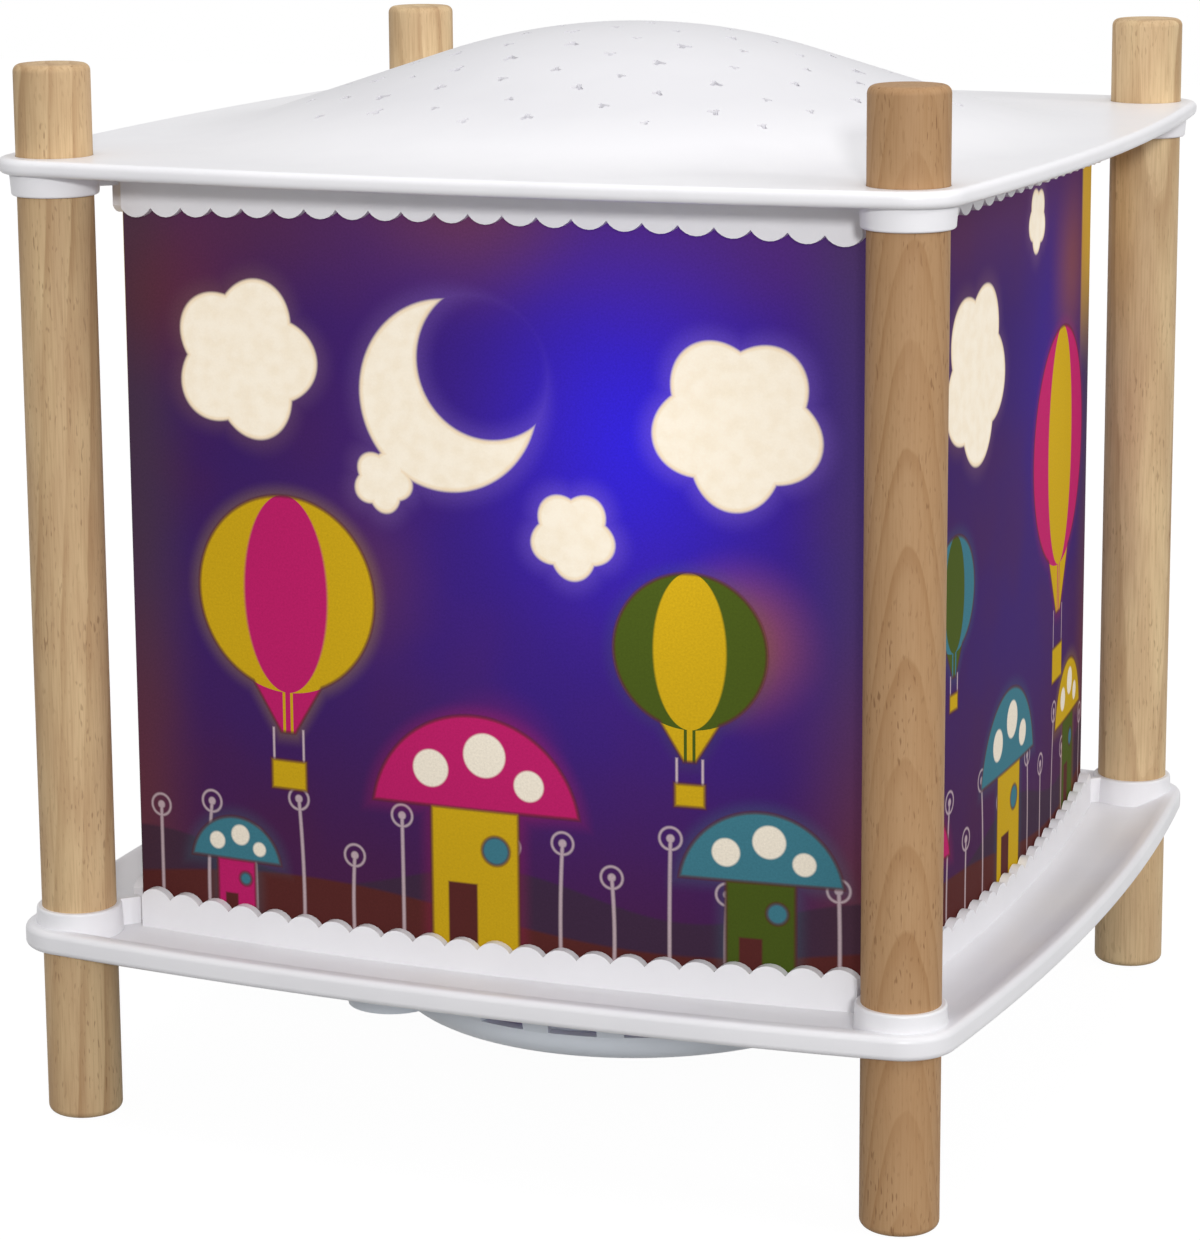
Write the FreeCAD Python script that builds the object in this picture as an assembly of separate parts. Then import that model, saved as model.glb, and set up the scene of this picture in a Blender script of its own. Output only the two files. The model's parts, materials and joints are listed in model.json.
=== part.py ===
import FreeCAD, Part

import math
import os

# Rotating motion lamp: four round beech posts carry a moulded tray and a domed, star-pierced
# cover.  A folded four-sided shade stands between them.  Warm air from the lamp on the central
# stem rises through a vaned wheel, which turns the printed drum on a needle.
# Millimetres.  Origin on the floor at the middle of the four posts, +Z up, front face at -Y.

V = FreeCAD.Vector
UP = V(0, 0, 1)

# ---------------------------------------------------------------- driving dimensions
# Posts
POST_SPACING = 150.0            # between neighbouring post axes
POST_DIAMETER = 13.0
POST_STAND = 15.6               # above the cover's flat
POST_END_CHAMFER = 1.5

# Outline shared by the cover and the tray
PLATE_MARGIN = 3.0              # round a post, at the corners
PLATE_SIDE_BOW = 4.2            # how far a side stands out past its corners

# Tray
TRAY_UNDERSIDE_HEIGHT = 30.8    # above the floor
TRAY_THICKNESS = 2.2
RIM_HEIGHT = 1.9                # of the raised border above the tray's surface
RIM_WIDTH = 2.6
RIM_SLOPE = 5.0                 # how far the border slopes down inwards
EDGE_CHAMFER = 0.8
TRAY_COLLAR_HEIGHT = 4.85       # above the tray's surface
HUB_RADIUS = 11.0
HUB_HEIGHT = 3.0
AIR_SLOT_COUNT = 12
AIR_SLOT_INNER_RADIUS = 17.0
AIR_SLOT_OUTER_RADIUS = 38.0
AIR_RIB_WIDTH = 5.0

# Collars round the posts, on the tray and on the cover
COLLAR_WALL = 0.9
COLLAR_DRAFT = 0.35             # a collar is this much wider at its root
COVER_POST_CLEARANCE = 0.10     # the cover slides on the posts
WEB_THICKNESS = 1.4             # between a collar and the scalloped walls

# Shade, a folded sheet with bowed sides
SHADE_SIZE = 134.0              # between neighbouring folds
SHADE_BOW = 4.0
SHADE_THICKNESS = 0.5
SHADE_TOP_CLEARANCE = 0.3       # under the cover
SHEET_GAP = 0.3                 # between the sheet and the walls that hold it

# Scalloped walls outside the sheet, and the plain lips inside it
SCALLOP_COUNT = 22
SCALLOP_DEPTH = 1.6
WALL_THICKNESS = 1.6
WALL_END_SETBACK = 1.2          # each wall stops this far short of the fold
FENCE_HEIGHT = 7.2              # above the tray's surface, at the ends
FENCE_ARCH = 1.5                # lower than that in the middle
SKIRT_DEPTH = 8.1               # below the cover's underside, at the ends
SKIRT_ARCH = 1.8
LIP_HEIGHT = 3.0
LIP_THICKNESS = 1.2

# Cover
COVER_UNDERSIDE_HEIGHT = 166.1
COVER_THICKNESS = 2.8
COVER_COLLAR_DEPTH = 3.8        # below the cover's underside
COVER_WEB_DEPTH = 2.8
DOME_MARGIN = 4.7               # flat left between the dome's foot and a side's middle
DOME_CROWN_RADIUS = 110.0       # of the spherical top
DOME_SLOPE = 18.0               # degrees, on the straight flank below it
DOME_FLARE_RADIUS = 60.0        # where the flank runs out into the plate
DOME_WALL = 2.2
DOME_HOLLOW_MARGIN = 3.0        # inside the lip
STAR_COUNT = 36
STAR_SIZES = (2.1, 1.4, 1.7)    # point radii, dealt out in turn
STAR_WAIST = 0.45               # inner radius over point radius
STAR_EDGE_SETBACK = 4.0         # inside the hollow
STAR_POINTS = 5
STAR_TURN = 63.0                # degrees, from one star's heading to the next
STAR_START = 0.7                # share of a step, which keeps the first star off the crown

# Vented pod under the tray
POD_TOP_RADIUS = 50.0
POD_BOTTOM_RADIUS = 45.5
POD_BOTTOM_HEIGHT = 8.8         # above the floor
POD_CORNER_RADIUS = 5.0
POD_WALL = 2.0
VENT_COUNT = 21                 # places; the inlet's boss takes up two of them
VENT_WIDTH = 8.8
VENT_HEIGHT = 6.5
VENT_SILL = 5.2                 # above the pod's underside
INLET_ANGLE = 217.3             # degrees round from +X
INLET_RADIUS = 8.2              # of the upright boss that the supply enters
INLET_REACH = 54.4              # from the lamp's axis to the boss's far side
INLET_DEPTH = 8.0
INLET_SILL = 1.2                # above the pod's underside
INLET_BORE = 4.2

# Screws that hold the pod
POD_SCREW_COUNT = 3
POD_SCREW_CIRCLE = 34.0         # radius
POD_SCREW_DIAMETER = 3.0
POD_SCREW_LENGTH = 13.0
POD_SCREW_HEAD_DIAMETER = 5.6
POD_SCREW_HEAD_HEIGHT = 2.2
POD_SCREW_HEAD_CHAMFER = 0.8
POD_SCREW_HOLE_GAP = 0.2
POD_SCREW_ANGLE = 30.0          # of the first one, degrees round from +X
PILLAR_WALL = 1.8
PILLAR_WEB = 5.0                # between a screw's head and the tray's boss
BOSS_LENGTH = 9.0

# Stem and its nuts
STEM_DIAMETER = 10.0
STEM_BORE = 8.0
STEM_DROP = 8.8                 # below the tray
STEM_GAP = 0.1                  # radial, in the tray's hub and in the bracket
NUT_ACROSS_FLATS = 14.0
NUT_HEIGHT = 3.0

# Lampholder on its bracket
BRACKET_THICKNESS = 1.2
BRACKET_LENGTH = 34.0
BRACKET_WIDTH = 14.0
BRACKET_CORNER_RADIUS = 2.0
BRACKET_EAR_LAP = 4.0           # how far the ears reach up the holder's ends
HOLDER_LENGTH = 20.0
HOLDER_WIDTH = 9.0
HOLDER_HEIGHT = 8.0
HOLDER_CORNER_RADIUS = 1.0

# Capsule bulb
BULB_DIAMETER = 9.5
BULB_HEIGHT = 16.0
BULB_WALL = 0.8
BULB_PINCH_HEIGHT = 5.0
BULB_PINCH_WIDTH = 8.0
BULB_PINCH_THICKNESS = 3.6
PIN_SPACING = 4.0
PIN_DIAMETER = 0.7
PIN_DEPTH = 6.0                 # into the lampholder
PIN_STAND = 1.0                 # above the pinch, inside the capsule
BULB_LAP = 1.5                  # the capsule's round foot sinks this far into the pinch
FILAMENT_LENGTH = 4.0
FILAMENT_DIAMETER = 1.2
FILAMENT_HEIGHT = 4.5           # above the pinch

# Wire arch and needle that the drum turns on
ARCH_SPAN = 27.0
ARCH_WIRE = 2.2
ARCH_CLEARANCE = 28.0           # from the bulb up to the middle of the wire
NEEDLE_DIAMETER = 1.2
NEEDLE_LENGTH = 9.0
NEEDLE_POINT = 3.0
NEEDLE_TIP_RADIUS = 0.1
NEEDLE_RUNNING_GAP = 0.15

# Drum
DRUM_RADIUS = 52.0
DRUM_FLOOR_CLEARANCE = 9.0      # over the tray
DRUM_COVER_CLEARANCE = 8.1      # under the cover's plate
FILM_THICKNESS = 0.4
HOOP_HEIGHT = 3.0
HOOP_THICKNESS = 1.0
WHEEL_RIM_HEIGHT = 6.0
WHEEL_RIM_THICKNESS = 1.2
WHEEL_HUB_RADIUS = 6.0
WHEEL_HUB_HEIGHT = 7.0
WHEEL_HUB_STAND = 1.0           # above the rim
VANE_COUNT = 12
VANE_THICKNESS = 0.8
VANE_PITCH = 32.0               # degrees from level
VANE_CHORD = 12.0               # at the rim
VANE_ROOT_CHORD = 4.0
VANE_LAP = 0.4                  # how far a vane is let into the hub and the rim
CUP_RADIUS = 3.0
CUP_HEIGHT = 6.0
CUP_CONE_RADIUS = 1.8
CUP_CONE_DEPTH = 3.5
NEEDLE_TIP_DROP = 1.0           # of its tip below the wheel's rim

# Supply parts in the pod
BLOCK_LENGTH = 16.0
BLOCK_WIDTH = 12.0
BLOCK_HEIGHT = 9.0
BLOCK_OFFSET = 18.0             # from the axis
BLOCK_BORE = 3.0
BLOCK_POLE_SPACING = 8.0        # between its two bores
LEAD_DIAMETER = 1.6
LEAD_SPACING = 3.6
LEAD_BEND = 5.0                 # radius under the stem
LEAD_STUB = 1.0                 # straight run in front of the block

# Allowances of the model itself
CUT_LAP = 1.0                   # how far a cut runs past the face it opens
ROOT_LAP = 0.5                  # how far a wall is rooted in the plate that carries it
LEVEL_TOLERANCE = 0.1           # an edge that rises less than this counts as level

# ---------------------------------------------------------------- sizes that follow
HALF_SPACING = POST_SPACING / 2
POST_RADIUS = POST_DIAMETER / 2
PLATE_CORNER_RADIUS = POST_RADIUS + PLATE_MARGIN
PLATE_HALF_WIDTH = HALF_SPACING + PLATE_CORNER_RADIUS + PLATE_SIDE_BOW
TRAY_SURFACE = TRAY_UNDERSIDE_HEIGHT + TRAY_THICKNESS
TRAY_COLLAR_TOP = TRAY_SURFACE + TRAY_COLLAR_HEIGHT
RIM_TOP = TRAY_SURFACE + RIM_HEIGHT
COVER_SURFACE = COVER_UNDERSIDE_HEIGHT + COVER_THICKNESS
POST_HEIGHT = COVER_SURFACE + POST_STAND
DOME_RADIUS = PLATE_HALF_WIDTH - DOME_MARGIN
SLOPE = math.radians(DOME_SLOPE)
FLANK_RUN = DOME_RADIUS - (DOME_CROWN_RADIUS + DOME_FLARE_RADIUS) * math.sin(SLOPE)
DOME_RISE = ((DOME_CROWN_RADIUS + DOME_FLARE_RADIUS) * (1 - math.cos(SLOPE))
             + FLANK_RUN * math.tan(SLOPE))
CROWN_CENTRE = COVER_SURFACE + DOME_RISE - DOME_CROWN_RADIUS
SHADE_HALF = SHADE_SIZE / 2
SHADE_TOP = COVER_UNDERSIDE_HEIGHT - SHADE_TOP_CLEARANCE
WALL_INSIDE = SHADE_HALF + SHEET_GAP
WALL_OUTSIDE = WALL_INSIDE + WALL_THICKNESS
WALL_HALF_LENGTH = SHADE_HALF - WALL_END_SETBACK
LIP_OUTSIDE = SHADE_HALF - SHADE_THICKNESS - SHEET_GAP
LIP_INSIDE = LIP_OUTSIDE - LIP_THICKNESS
DOME_HOLLOW_RADIUS = LIP_INSIDE - DOME_HOLLOW_MARGIN
STAR_FIELD_RADIUS = DOME_HOLLOW_RADIUS - STAR_EDGE_SETBACK
POD_FLOOR = POD_BOTTOM_HEIGHT + POD_WALL
BOSS_RADIUS = POD_SCREW_DIAMETER / 2 + PILLAR_WALL
BOSS_FOOT = TRAY_UNDERSIDE_HEIGHT - BOSS_LENGTH
POD_SCREW_SEAT = BOSS_FOOT - PILLAR_WEB
POD_SCREW_TIP = POD_SCREW_SEAT + POD_SCREW_LENGTH
DRUM_BOTTOM_HEIGHT = TRAY_SURFACE + DRUM_FLOOR_CLEARANCE
DRUM_TOP_HEIGHT = COVER_UNDERSIDE_HEIGHT - DRUM_COVER_CLEARANCE
NEEDLE_TIP = DRUM_TOP_HEIGHT - NEEDLE_TIP_DROP
ARCH_TOP_HEIGHT = NEEDLE_TIP - NEEDLE_LENGTH
STEM_BOTTOM_HEIGHT = TRAY_UNDERSIDE_HEIGHT - STEM_DROP
STEM_TOP_HEIGHT = ARCH_TOP_HEIGHT - ARCH_CLEARANCE - BULB_HEIGHT - HOLDER_HEIGHT
BRACKET_TOP = STEM_TOP_HEIGHT - NUT_HEIGHT
BRACKET_UNDERSIDE = BRACKET_TOP - BRACKET_THICKNESS
HOLDER_BASE = STEM_TOP_HEIGHT
HOLDER_TOP = HOLDER_BASE + HOLDER_HEIGHT
PINCH_TOP = HOLDER_TOP + BULB_PINCH_HEIGHT
PIN_TOP = PINCH_TOP + PIN_STAND
WHEEL_INSIDE = DRUM_RADIUS - FILM_THICKNESS
WHEEL_BOTTOM = DRUM_TOP_HEIGHT - WHEEL_RIM_HEIGHT
CUP_BOTTOM = NEEDLE_TIP + NEEDLE_RUNNING_GAP - CUP_CONE_DEPTH
WHEEL_HUB_TOP = DRUM_TOP_HEIGHT + WHEEL_HUB_STAND
CORNERS = {
    "post_front_left": (-HALF_SPACING, -HALF_SPACING),
    "post_front_right": (HALF_SPACING, -HALF_SPACING),
    "post_back_right": (HALF_SPACING, HALF_SPACING),
    "post_back_left": (-HALF_SPACING, HALF_SPACING),
}


# ---------------------------------------------------------------- helpers
def turned(shape, degrees):
    """A copy of a shape turned about the lamp's axis."""
    copy = shape.copy()
    copy.rotate(V(0, 0, 0), UP, degrees)
    return copy


def quarters(shape):
    """Four copies of a shape, one for each side or corner."""
    return [turned(shape, 90 * quarter) for quarter in range(4)]


def around(shape, count, start=0.0):
    """Copies of a shape, evenly spaced round the axis."""
    return [turned(shape, start + 360.0 * index / count) for index in range(count)]


def fused(shapes):
    """One solid made of shapes that touch or overlap."""
    return shapes[0].fuse(shapes[1:]).removeSplitter()


def cylinder(radius, bottom, top, x=0.0, y=0.0):
    return Part.makeCylinder(radius, top - bottom, V(x, y, bottom))


def ring(inner, outer, bottom, top, x=0.0, y=0.0):
    return cylinder(outer, bottom, top, x, y).cut(
        cylinder(inner, bottom - CUT_LAP, top + CUT_LAP, x, y))


def box(length, width, bottom, top, x=0.0, y=0.0):
    """A box centred on a point in plan."""
    return Part.makeBox(length, width, top - bottom, V(x - length / 2, y - width / 2, bottom))


def polyline(points):
    return Part.makePolygon(points + points[:1])


def raised(face, bottom, top):
    """A flat face drawn at height 0, made solid between two heights."""
    solid = face.extrude(V(0, 0, top - bottom))
    solid.translate(V(0, 0, bottom))
    return solid


def revolved(edges):
    """A solid of revolution from edges in the XZ plane."""
    return Part.Face(Part.Wire(edges)).revolve(V(0, 0, 0), UP, 360)


def only_solid(shape):
    """The single solid that a boolean leaves, out of its compound."""
    return shape.Solids[0] if len(shape.Solids) == 1 else shape


def plate_outline(inset=0.0, height=0.0):
    """The bowed square with rounded corners, shrunk by an inset."""
    corner = PLATE_CORNER_RADIUS - inset
    middle = corner + PLATE_SIDE_BOW
    side = (HALF_SPACING ** 2 + middle ** 2 - corner ** 2) / (2 * (middle - corner))
    side_centre = side - middle - HALF_SPACING
    lean = math.atan2(HALF_SPACING, side_centre + HALF_SPACING)
    end_x = side * math.sin(lean)
    end_y = side_centre - side * math.cos(lean)
    diagonal = HALF_SPACING + corner / math.sqrt(2)
    side_arc = Part.Arc(V(-end_x, end_y, height), V(0, side_centre - side, height),
                        V(end_x, end_y, height)).toShape()
    corner_arc = Part.Arc(V(end_x, end_y, height), V(diagonal, -diagonal, height),
                          V(-end_y, -end_x, height)).toShape()
    return Part.Wire([edge for pair in zip(quarters(side_arc), quarters(corner_arc))
                      for edge in pair])


def bowed_square(half, bow=SHADE_BOW):
    """A face with four bowed sides that meet at sharp corners."""
    side = Part.Arc(V(-half, -half, 0), V(0, -half - bow, 0), V(half, -half, 0)).toShape()
    return Part.Face(Part.Wire(quarters(side)))


def bowed_frame(outside, inside, bottom, top):
    """The wall between two bowed squares."""
    return raised(bowed_square(outside).cut(bowed_square(inside)), bottom, top)


def scalloped_profile(half_length, root, edge, arch, pointing):
    """A wall's face in the XZ plane: straight at its root, a row of lobes at its free edge."""
    pitch = 2 * half_length / SCALLOP_COUNT

    def free_edge(x):
        return edge - pointing * arch * (1 - (x / half_length) ** 2)

    edges = []
    for index in range(SCALLOP_COUNT):
        left = -half_length + index * pitch
        right = left + pitch
        middle = (left + right) / 2
        start = V(left, 0, free_edge(left) - pointing * SCALLOP_DEPTH)
        crown = V(middle, 0, free_edge(middle))
        finish = V(right, 0, free_edge(right) - pointing * SCALLOP_DEPTH)
        edges.append(Part.Arc(start, crown, finish).toShape())
    first = edges[0].Vertexes[0].Point
    last = edges[-1].Vertexes[-1].Point
    root_left = V(-half_length, 0, root)
    root_right = V(half_length, 0, root)
    edges.append(Part.makeLine(last, root_right))
    edges.append(Part.makeLine(root_right, root_left))
    edges.append(Part.makeLine(root_left, first))
    return Part.Face(Part.Wire(edges))


def scalloped_walls(root, edge, arch, pointing):
    """Four bowed walls with a scalloped free edge, pointing up (+1) or down (-1)."""
    profile = scalloped_profile(WALL_HALF_LENGTH, root, edge, arch, pointing)
    block = profile.extrude(V(0, -2 * WALL_OUTSIDE, 0))
    low = min(root, edge) - CUT_LAP
    high = max(root, edge) + CUT_LAP
    band = bowed_frame(WALL_OUTSIDE, WALL_INSIDE, low, high)
    return quarters(only_solid(block.common(band)))


def corner_webs(bottom, top):
    """Thin webs along the diagonals, from the collars to the corners of the walls."""
    start = WALL_INSIDE * math.sqrt(2)
    finish = HALF_SPACING * math.sqrt(2)
    web = Part.makeBox(finish - start, WEB_THICKNESS, top - bottom,
                       V(start, -WEB_THICKNESS / 2, bottom))
    return around(web, 4, 45)


def collars(root, tip):
    """Four drafted collars on the post axes, from a plate to their free rim."""
    tip_radius = POST_RADIUS + COLLAR_WALL
    root_radius = tip_radius + COLLAR_DRAFT
    axis = V(0, 0, 1 if tip > root else -1)
    return [Part.makeCone(root_radius, tip_radius, abs(tip - root), V(x, y, root), axis)
            for x, y in CORNERS.values()]


def post_bores(clearance, bottom, top):
    return [cylinder(POST_RADIUS + clearance, bottom, top, x, y) for x, y in CORNERS.values()]


def is_level(edge):
    return edge.BoundBox.ZLength < LEVEL_TOLERANCE


def edged_plate(bottom, top):
    """The outline as a plate with its upper and lower edges broken."""
    plate = raised(Part.Face(plate_outline()), bottom, top)
    rims = [edge for edge in plate.Edges if is_level(edge)]
    return plate.makeChamfer(EDGE_CHAMFER, rims)


# ---------------------------------------------------------------- frame
def post(x, y):
    blank = cylinder(POST_RADIUS, 0, POST_HEIGHT, x, y)
    ends = [edge for edge in blank.Edges if edge.Closed]
    return blank.makeChamfer(POST_END_CHAMFER, ends)


def tray():
    """Dished border, four collars, the scalloped fence, and the vented floor with its hub."""
    plate = edged_plate(TRAY_UNDERSIDE_HEIGHT, RIM_TOP)
    foot = plate_outline(RIM_WIDTH + RIM_SLOPE, TRAY_SURFACE)
    brim = plate_outline(RIM_WIDTH, RIM_TOP)
    plate = plate.cut(Part.makeLoft([foot, brim], True))
    boss = cylinder(BOSS_RADIUS, BOSS_FOOT, TRAY_SURFACE, POD_SCREW_CIRCLE)
    bosses = around(boss, POD_SCREW_COUNT, POD_SCREW_ANGLE)
    body = fused(
        [plate]
        + collars(TRAY_SURFACE - ROOT_LAP, TRAY_COLLAR_TOP)
        + scalloped_walls(TRAY_SURFACE, TRAY_SURFACE + FENCE_HEIGHT, FENCE_ARCH, +1)
        + corner_webs(TRAY_SURFACE - ROOT_LAP, TRAY_COLLAR_TOP)
        + [bowed_frame(LIP_OUTSIDE, LIP_INSIDE, TRAY_SURFACE,
                       TRAY_SURFACE + LIP_HEIGHT)]
        + [cylinder(HUB_RADIUS, TRAY_SURFACE, TRAY_SURFACE + HUB_HEIGHT)]
        + bosses)
    slot_ring = ring(AIR_SLOT_INNER_RADIUS, AIR_SLOT_OUTER_RADIUS,
                     TRAY_UNDERSIDE_HEIGHT - CUT_LAP, TRAY_SURFACE + CUT_LAP)
    rib = Part.makeBox(2 * AIR_SLOT_OUTER_RADIUS, AIR_RIB_WIDTH, TRAY_THICKNESS + 4 * CUT_LAP,
                       V(0, -AIR_RIB_WIDTH / 2, TRAY_UNDERSIDE_HEIGHT - 2 * CUT_LAP))
    slots = slot_ring.cut(around(rib, AIR_SLOT_COUNT) + bosses)
    pilot = cylinder(POD_SCREW_DIAMETER / 2, BOSS_FOOT - CUT_LAP, POD_SCREW_TIP, POD_SCREW_CIRCLE)
    bore = cylinder(STEM_DIAMETER / 2 + STEM_GAP, TRAY_UNDERSIDE_HEIGHT - CUT_LAP,
                    TRAY_SURFACE + HUB_HEIGHT + CUT_LAP)
    holes = post_bores(0.0, TRAY_UNDERSIDE_HEIGHT - CUT_LAP, TRAY_COLLAR_TOP + CUT_LAP)
    pilots = around(pilot, POD_SCREW_COUNT, POD_SCREW_ANGLE)
    return body.cut(holes + pilots + [slots, bore])


def shade():
    """One sheet folded into a bowed square; it stands on the tray between fence and lip."""
    return bowed_frame(SHADE_HALF, SHADE_HALF - SHADE_THICKNESS, TRAY_SURFACE, SHADE_TOP)


# ---------------------------------------------------------------- cover
def dome_solid(wall, bottom):
    """Everything under the dome, shrunk by a wall: crown, straight flank and flare."""
    crown = DOME_CROWN_RADIUS - wall
    flare = DOME_FLARE_RADIUS + wall
    sine, cosine = math.sin(SLOPE), math.cos(SLOPE)
    half_sine, half_cosine = math.sin(SLOPE / 2), math.cos(SLOPE / 2)
    flare_centre = COVER_SURFACE + DOME_FLARE_RADIUS
    top = V(0, 0, CROWN_CENTRE + crown)
    on_crown = V(crown * half_sine, 0, CROWN_CENTRE + crown * half_cosine)
    shoulder = V(crown * sine, 0, CROWN_CENTRE + crown * cosine)
    knee = V(DOME_RADIUS - flare * sine, 0, flare_centre - flare * cosine)
    on_flare = V(DOME_RADIUS - flare * half_sine, 0, flare_centre - flare * half_cosine)
    foot = V(DOME_RADIUS, 0, flare_centre - flare)
    toe = V(DOME_RADIUS, 0, bottom)
    base = V(0, 0, bottom)
    return revolved([Part.Arc(top, on_crown, shoulder).toShape(), Part.makeLine(shoulder, knee),
                     Part.Arc(knee, on_flare, foot).toShape(), Part.makeLine(foot, toe),
                     Part.makeLine(toe, base), Part.makeLine(base, top)])


def star(point_radius, x, y, heading, bottom, top):
    """A pointed star as a prism."""
    corners = []
    for index in range(2 * STAR_POINTS):
        reach = point_radius if index % 2 == 0 else STAR_WAIST * point_radius
        angle = heading + math.pi * index / STAR_POINTS
        corners.append(V(x + reach * math.cos(angle), y + reach * math.sin(angle), bottom))
    return Part.Face(polyline(corners)).extrude(V(0, 0, top - bottom))


def star_field():
    """Stars scattered evenly over the dome by the golden angle, in three sizes."""
    golden = math.pi * (3 - math.sqrt(5))
    top = CROWN_CENTRE + DOME_CROWN_RADIUS + CUT_LAP
    stars = []
    for index in range(STAR_COUNT):
        radius = STAR_FIELD_RADIUS * math.sqrt((index + STAR_START) / STAR_COUNT)
        angle = index * golden
        size = STAR_SIZES[index % len(STAR_SIZES)]
        stars.append(star(size, radius * math.cos(angle), radius * math.sin(angle),
                          index * math.radians(STAR_TURN), COVER_UNDERSIDE_HEIGHT - CUT_LAP,
                          top))
    return stars


def cover():
    """Moulded cover: bowed plate, hollow dome with stars, skirt, collars and inner lip."""
    plate = edged_plate(COVER_UNDERSIDE_HEIGHT, COVER_SURFACE)
    dome = dome_solid(0.0, COVER_SURFACE - ROOT_LAP)
    below = COVER_UNDERSIDE_HEIGHT - CUT_LAP
    hollow = dome_solid(DOME_WALL, below).common(
        cylinder(DOME_HOLLOW_RADIUS, below, CROWN_CENTRE + DOME_CROWN_RADIUS))
    shell = fused([plate, dome]).cut([hollow] + star_field())
    skirt = scalloped_walls(COVER_UNDERSIDE_HEIGHT, COVER_UNDERSIDE_HEIGHT - SKIRT_DEPTH,
                            SKIRT_ARCH, -1)
    lip = bowed_frame(LIP_OUTSIDE, LIP_INSIDE,
                      COVER_UNDERSIDE_HEIGHT - LIP_HEIGHT, COVER_UNDERSIDE_HEIGHT)
    body = fused(
        [shell, lip] + skirt
        + collars(COVER_UNDERSIDE_HEIGHT + ROOT_LAP, COVER_UNDERSIDE_HEIGHT - COVER_COLLAR_DEPTH)
        + corner_webs(COVER_UNDERSIDE_HEIGHT - COVER_WEB_DEPTH,
                      COVER_UNDERSIDE_HEIGHT + ROOT_LAP))
    return body.cut(post_bores(COVER_POST_CLEARANCE,
                               COVER_UNDERSIDE_HEIGHT - COVER_COLLAR_DEPTH - CUT_LAP,
                               COVER_SURFACE + CUT_LAP))


# ---------------------------------------------------------------- pod
def pod_profile(inset):
    """The bowl's outline in the XZ plane, shrunk by the wall for its inside."""
    bottom = POD_BOTTOM_HEIGHT + inset
    top = TRAY_UNDERSIDE_HEIGHT
    corner = POD_CORNER_RADIUS - inset
    rim = V(POD_TOP_RADIUS - inset, 0, top)
    start = V(POD_BOTTOM_RADIUS - inset, 0, bottom + corner)
    turn = corner * (1 - math.sqrt(0.5))
    middle = V(POD_BOTTOM_RADIUS - inset - turn, 0, bottom + turn)
    flat = V(POD_BOTTOM_RADIUS - inset - corner, 0, bottom)
    floor = V(0, 0, bottom)
    axis = V(0, 0, top)
    return [Part.makeLine(axis, rim), Part.makeLine(rim, start),
            Part.Arc(start, middle, flat).toShape(), Part.makeLine(flat, floor),
            Part.makeLine(floor, axis)]


def pod_vent():
    """One upright slot, ready to cut through the wall on +X."""
    bottom = POD_BOTTOM_HEIGHT + VENT_SILL
    return Part.makeBox(POD_TOP_RADIUS, VENT_WIDTH, VENT_HEIGHT,
                        V(POD_BOTTOM_RADIUS - 2 * POD_WALL, -VENT_WIDTH / 2, bottom))


def inlet_boss():
    """The round boss that the supply enters by, before its bore, on +X."""
    bottom = POD_BOTTOM_HEIGHT + INLET_SILL
    return cylinder(INLET_RADIUS, bottom, bottom + INLET_DEPTH, INLET_REACH - INLET_RADIUS)


def inlet_bore():
    """The hole through the boss and the wall, on +X."""
    height = POD_BOTTOM_HEIGHT + INLET_SILL + INLET_DEPTH / 2
    start = INLET_REACH - 2 * INLET_RADIUS
    return Part.makeCylinder(INLET_BORE / 2, INLET_REACH - start + CUT_LAP, V(start, 0, height),
                             V(1, 0, 0))


def pod():
    """Vented bowl with screw pillars and the boss for the supply."""
    outside = revolved(pod_profile(0.0))
    inside = revolved(pod_profile(POD_WALL))
    places = around(pod_vent(), VENT_COUNT, INLET_ANGLE + 180.0 / VENT_COUNT)
    vents = places[1:-1]        # the places on either side of the boss stay closed
    boss = turned(inlet_boss(), INLET_ANGLE)
    pillar = cylinder(POD_SCREW_HEAD_DIAMETER / 2 + PILLAR_WALL, POD_BOTTOM_HEIGHT + POD_WALL / 2,
                      BOSS_FOOT, POD_SCREW_CIRCLE)
    shell = fused([outside.cut(vents), boss]).cut(inside)
    body = fused([shell] + around(pillar, POD_SCREW_COUNT, POD_SCREW_ANGLE))
    below = POD_BOTTOM_HEIGHT - CUT_LAP
    shank_hole = cylinder(POD_SCREW_DIAMETER / 2 + POD_SCREW_HOLE_GAP, below,
                          BOSS_FOOT + CUT_LAP, POD_SCREW_CIRCLE)
    head_hole = cylinder(POD_SCREW_HEAD_DIAMETER / 2 + POD_SCREW_HOLE_GAP, below,
                         POD_SCREW_SEAT, POD_SCREW_CIRCLE)
    screw_hole = fused([shank_hole, head_hole])
    return body.cut(around(screw_hole, POD_SCREW_COUNT, POD_SCREW_ANGLE)
                    + [turned(inlet_bore(), INLET_ANGLE)])


def pod_screws():
    """Pan-head screws, up through the pod's pillars into the tray's bosses."""
    seat = POD_SCREW_SEAT
    head = cylinder(POD_SCREW_HEAD_DIAMETER / 2, seat - POD_SCREW_HEAD_HEIGHT, seat,
                    POD_SCREW_CIRCLE)
    rim = [edge for edge in head.Edges if is_level(edge) and edge.CenterOfMass.z < seat]
    head = head.makeChamfer(POD_SCREW_HEAD_CHAMFER, rim[:1])
    shank = cylinder(POD_SCREW_DIAMETER / 2, seat, POD_SCREW_TIP, POD_SCREW_CIRCLE)
    screw = fused([head, shank])
    return Part.makeCompound(around(screw, POD_SCREW_COUNT, POD_SCREW_ANGLE))


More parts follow.
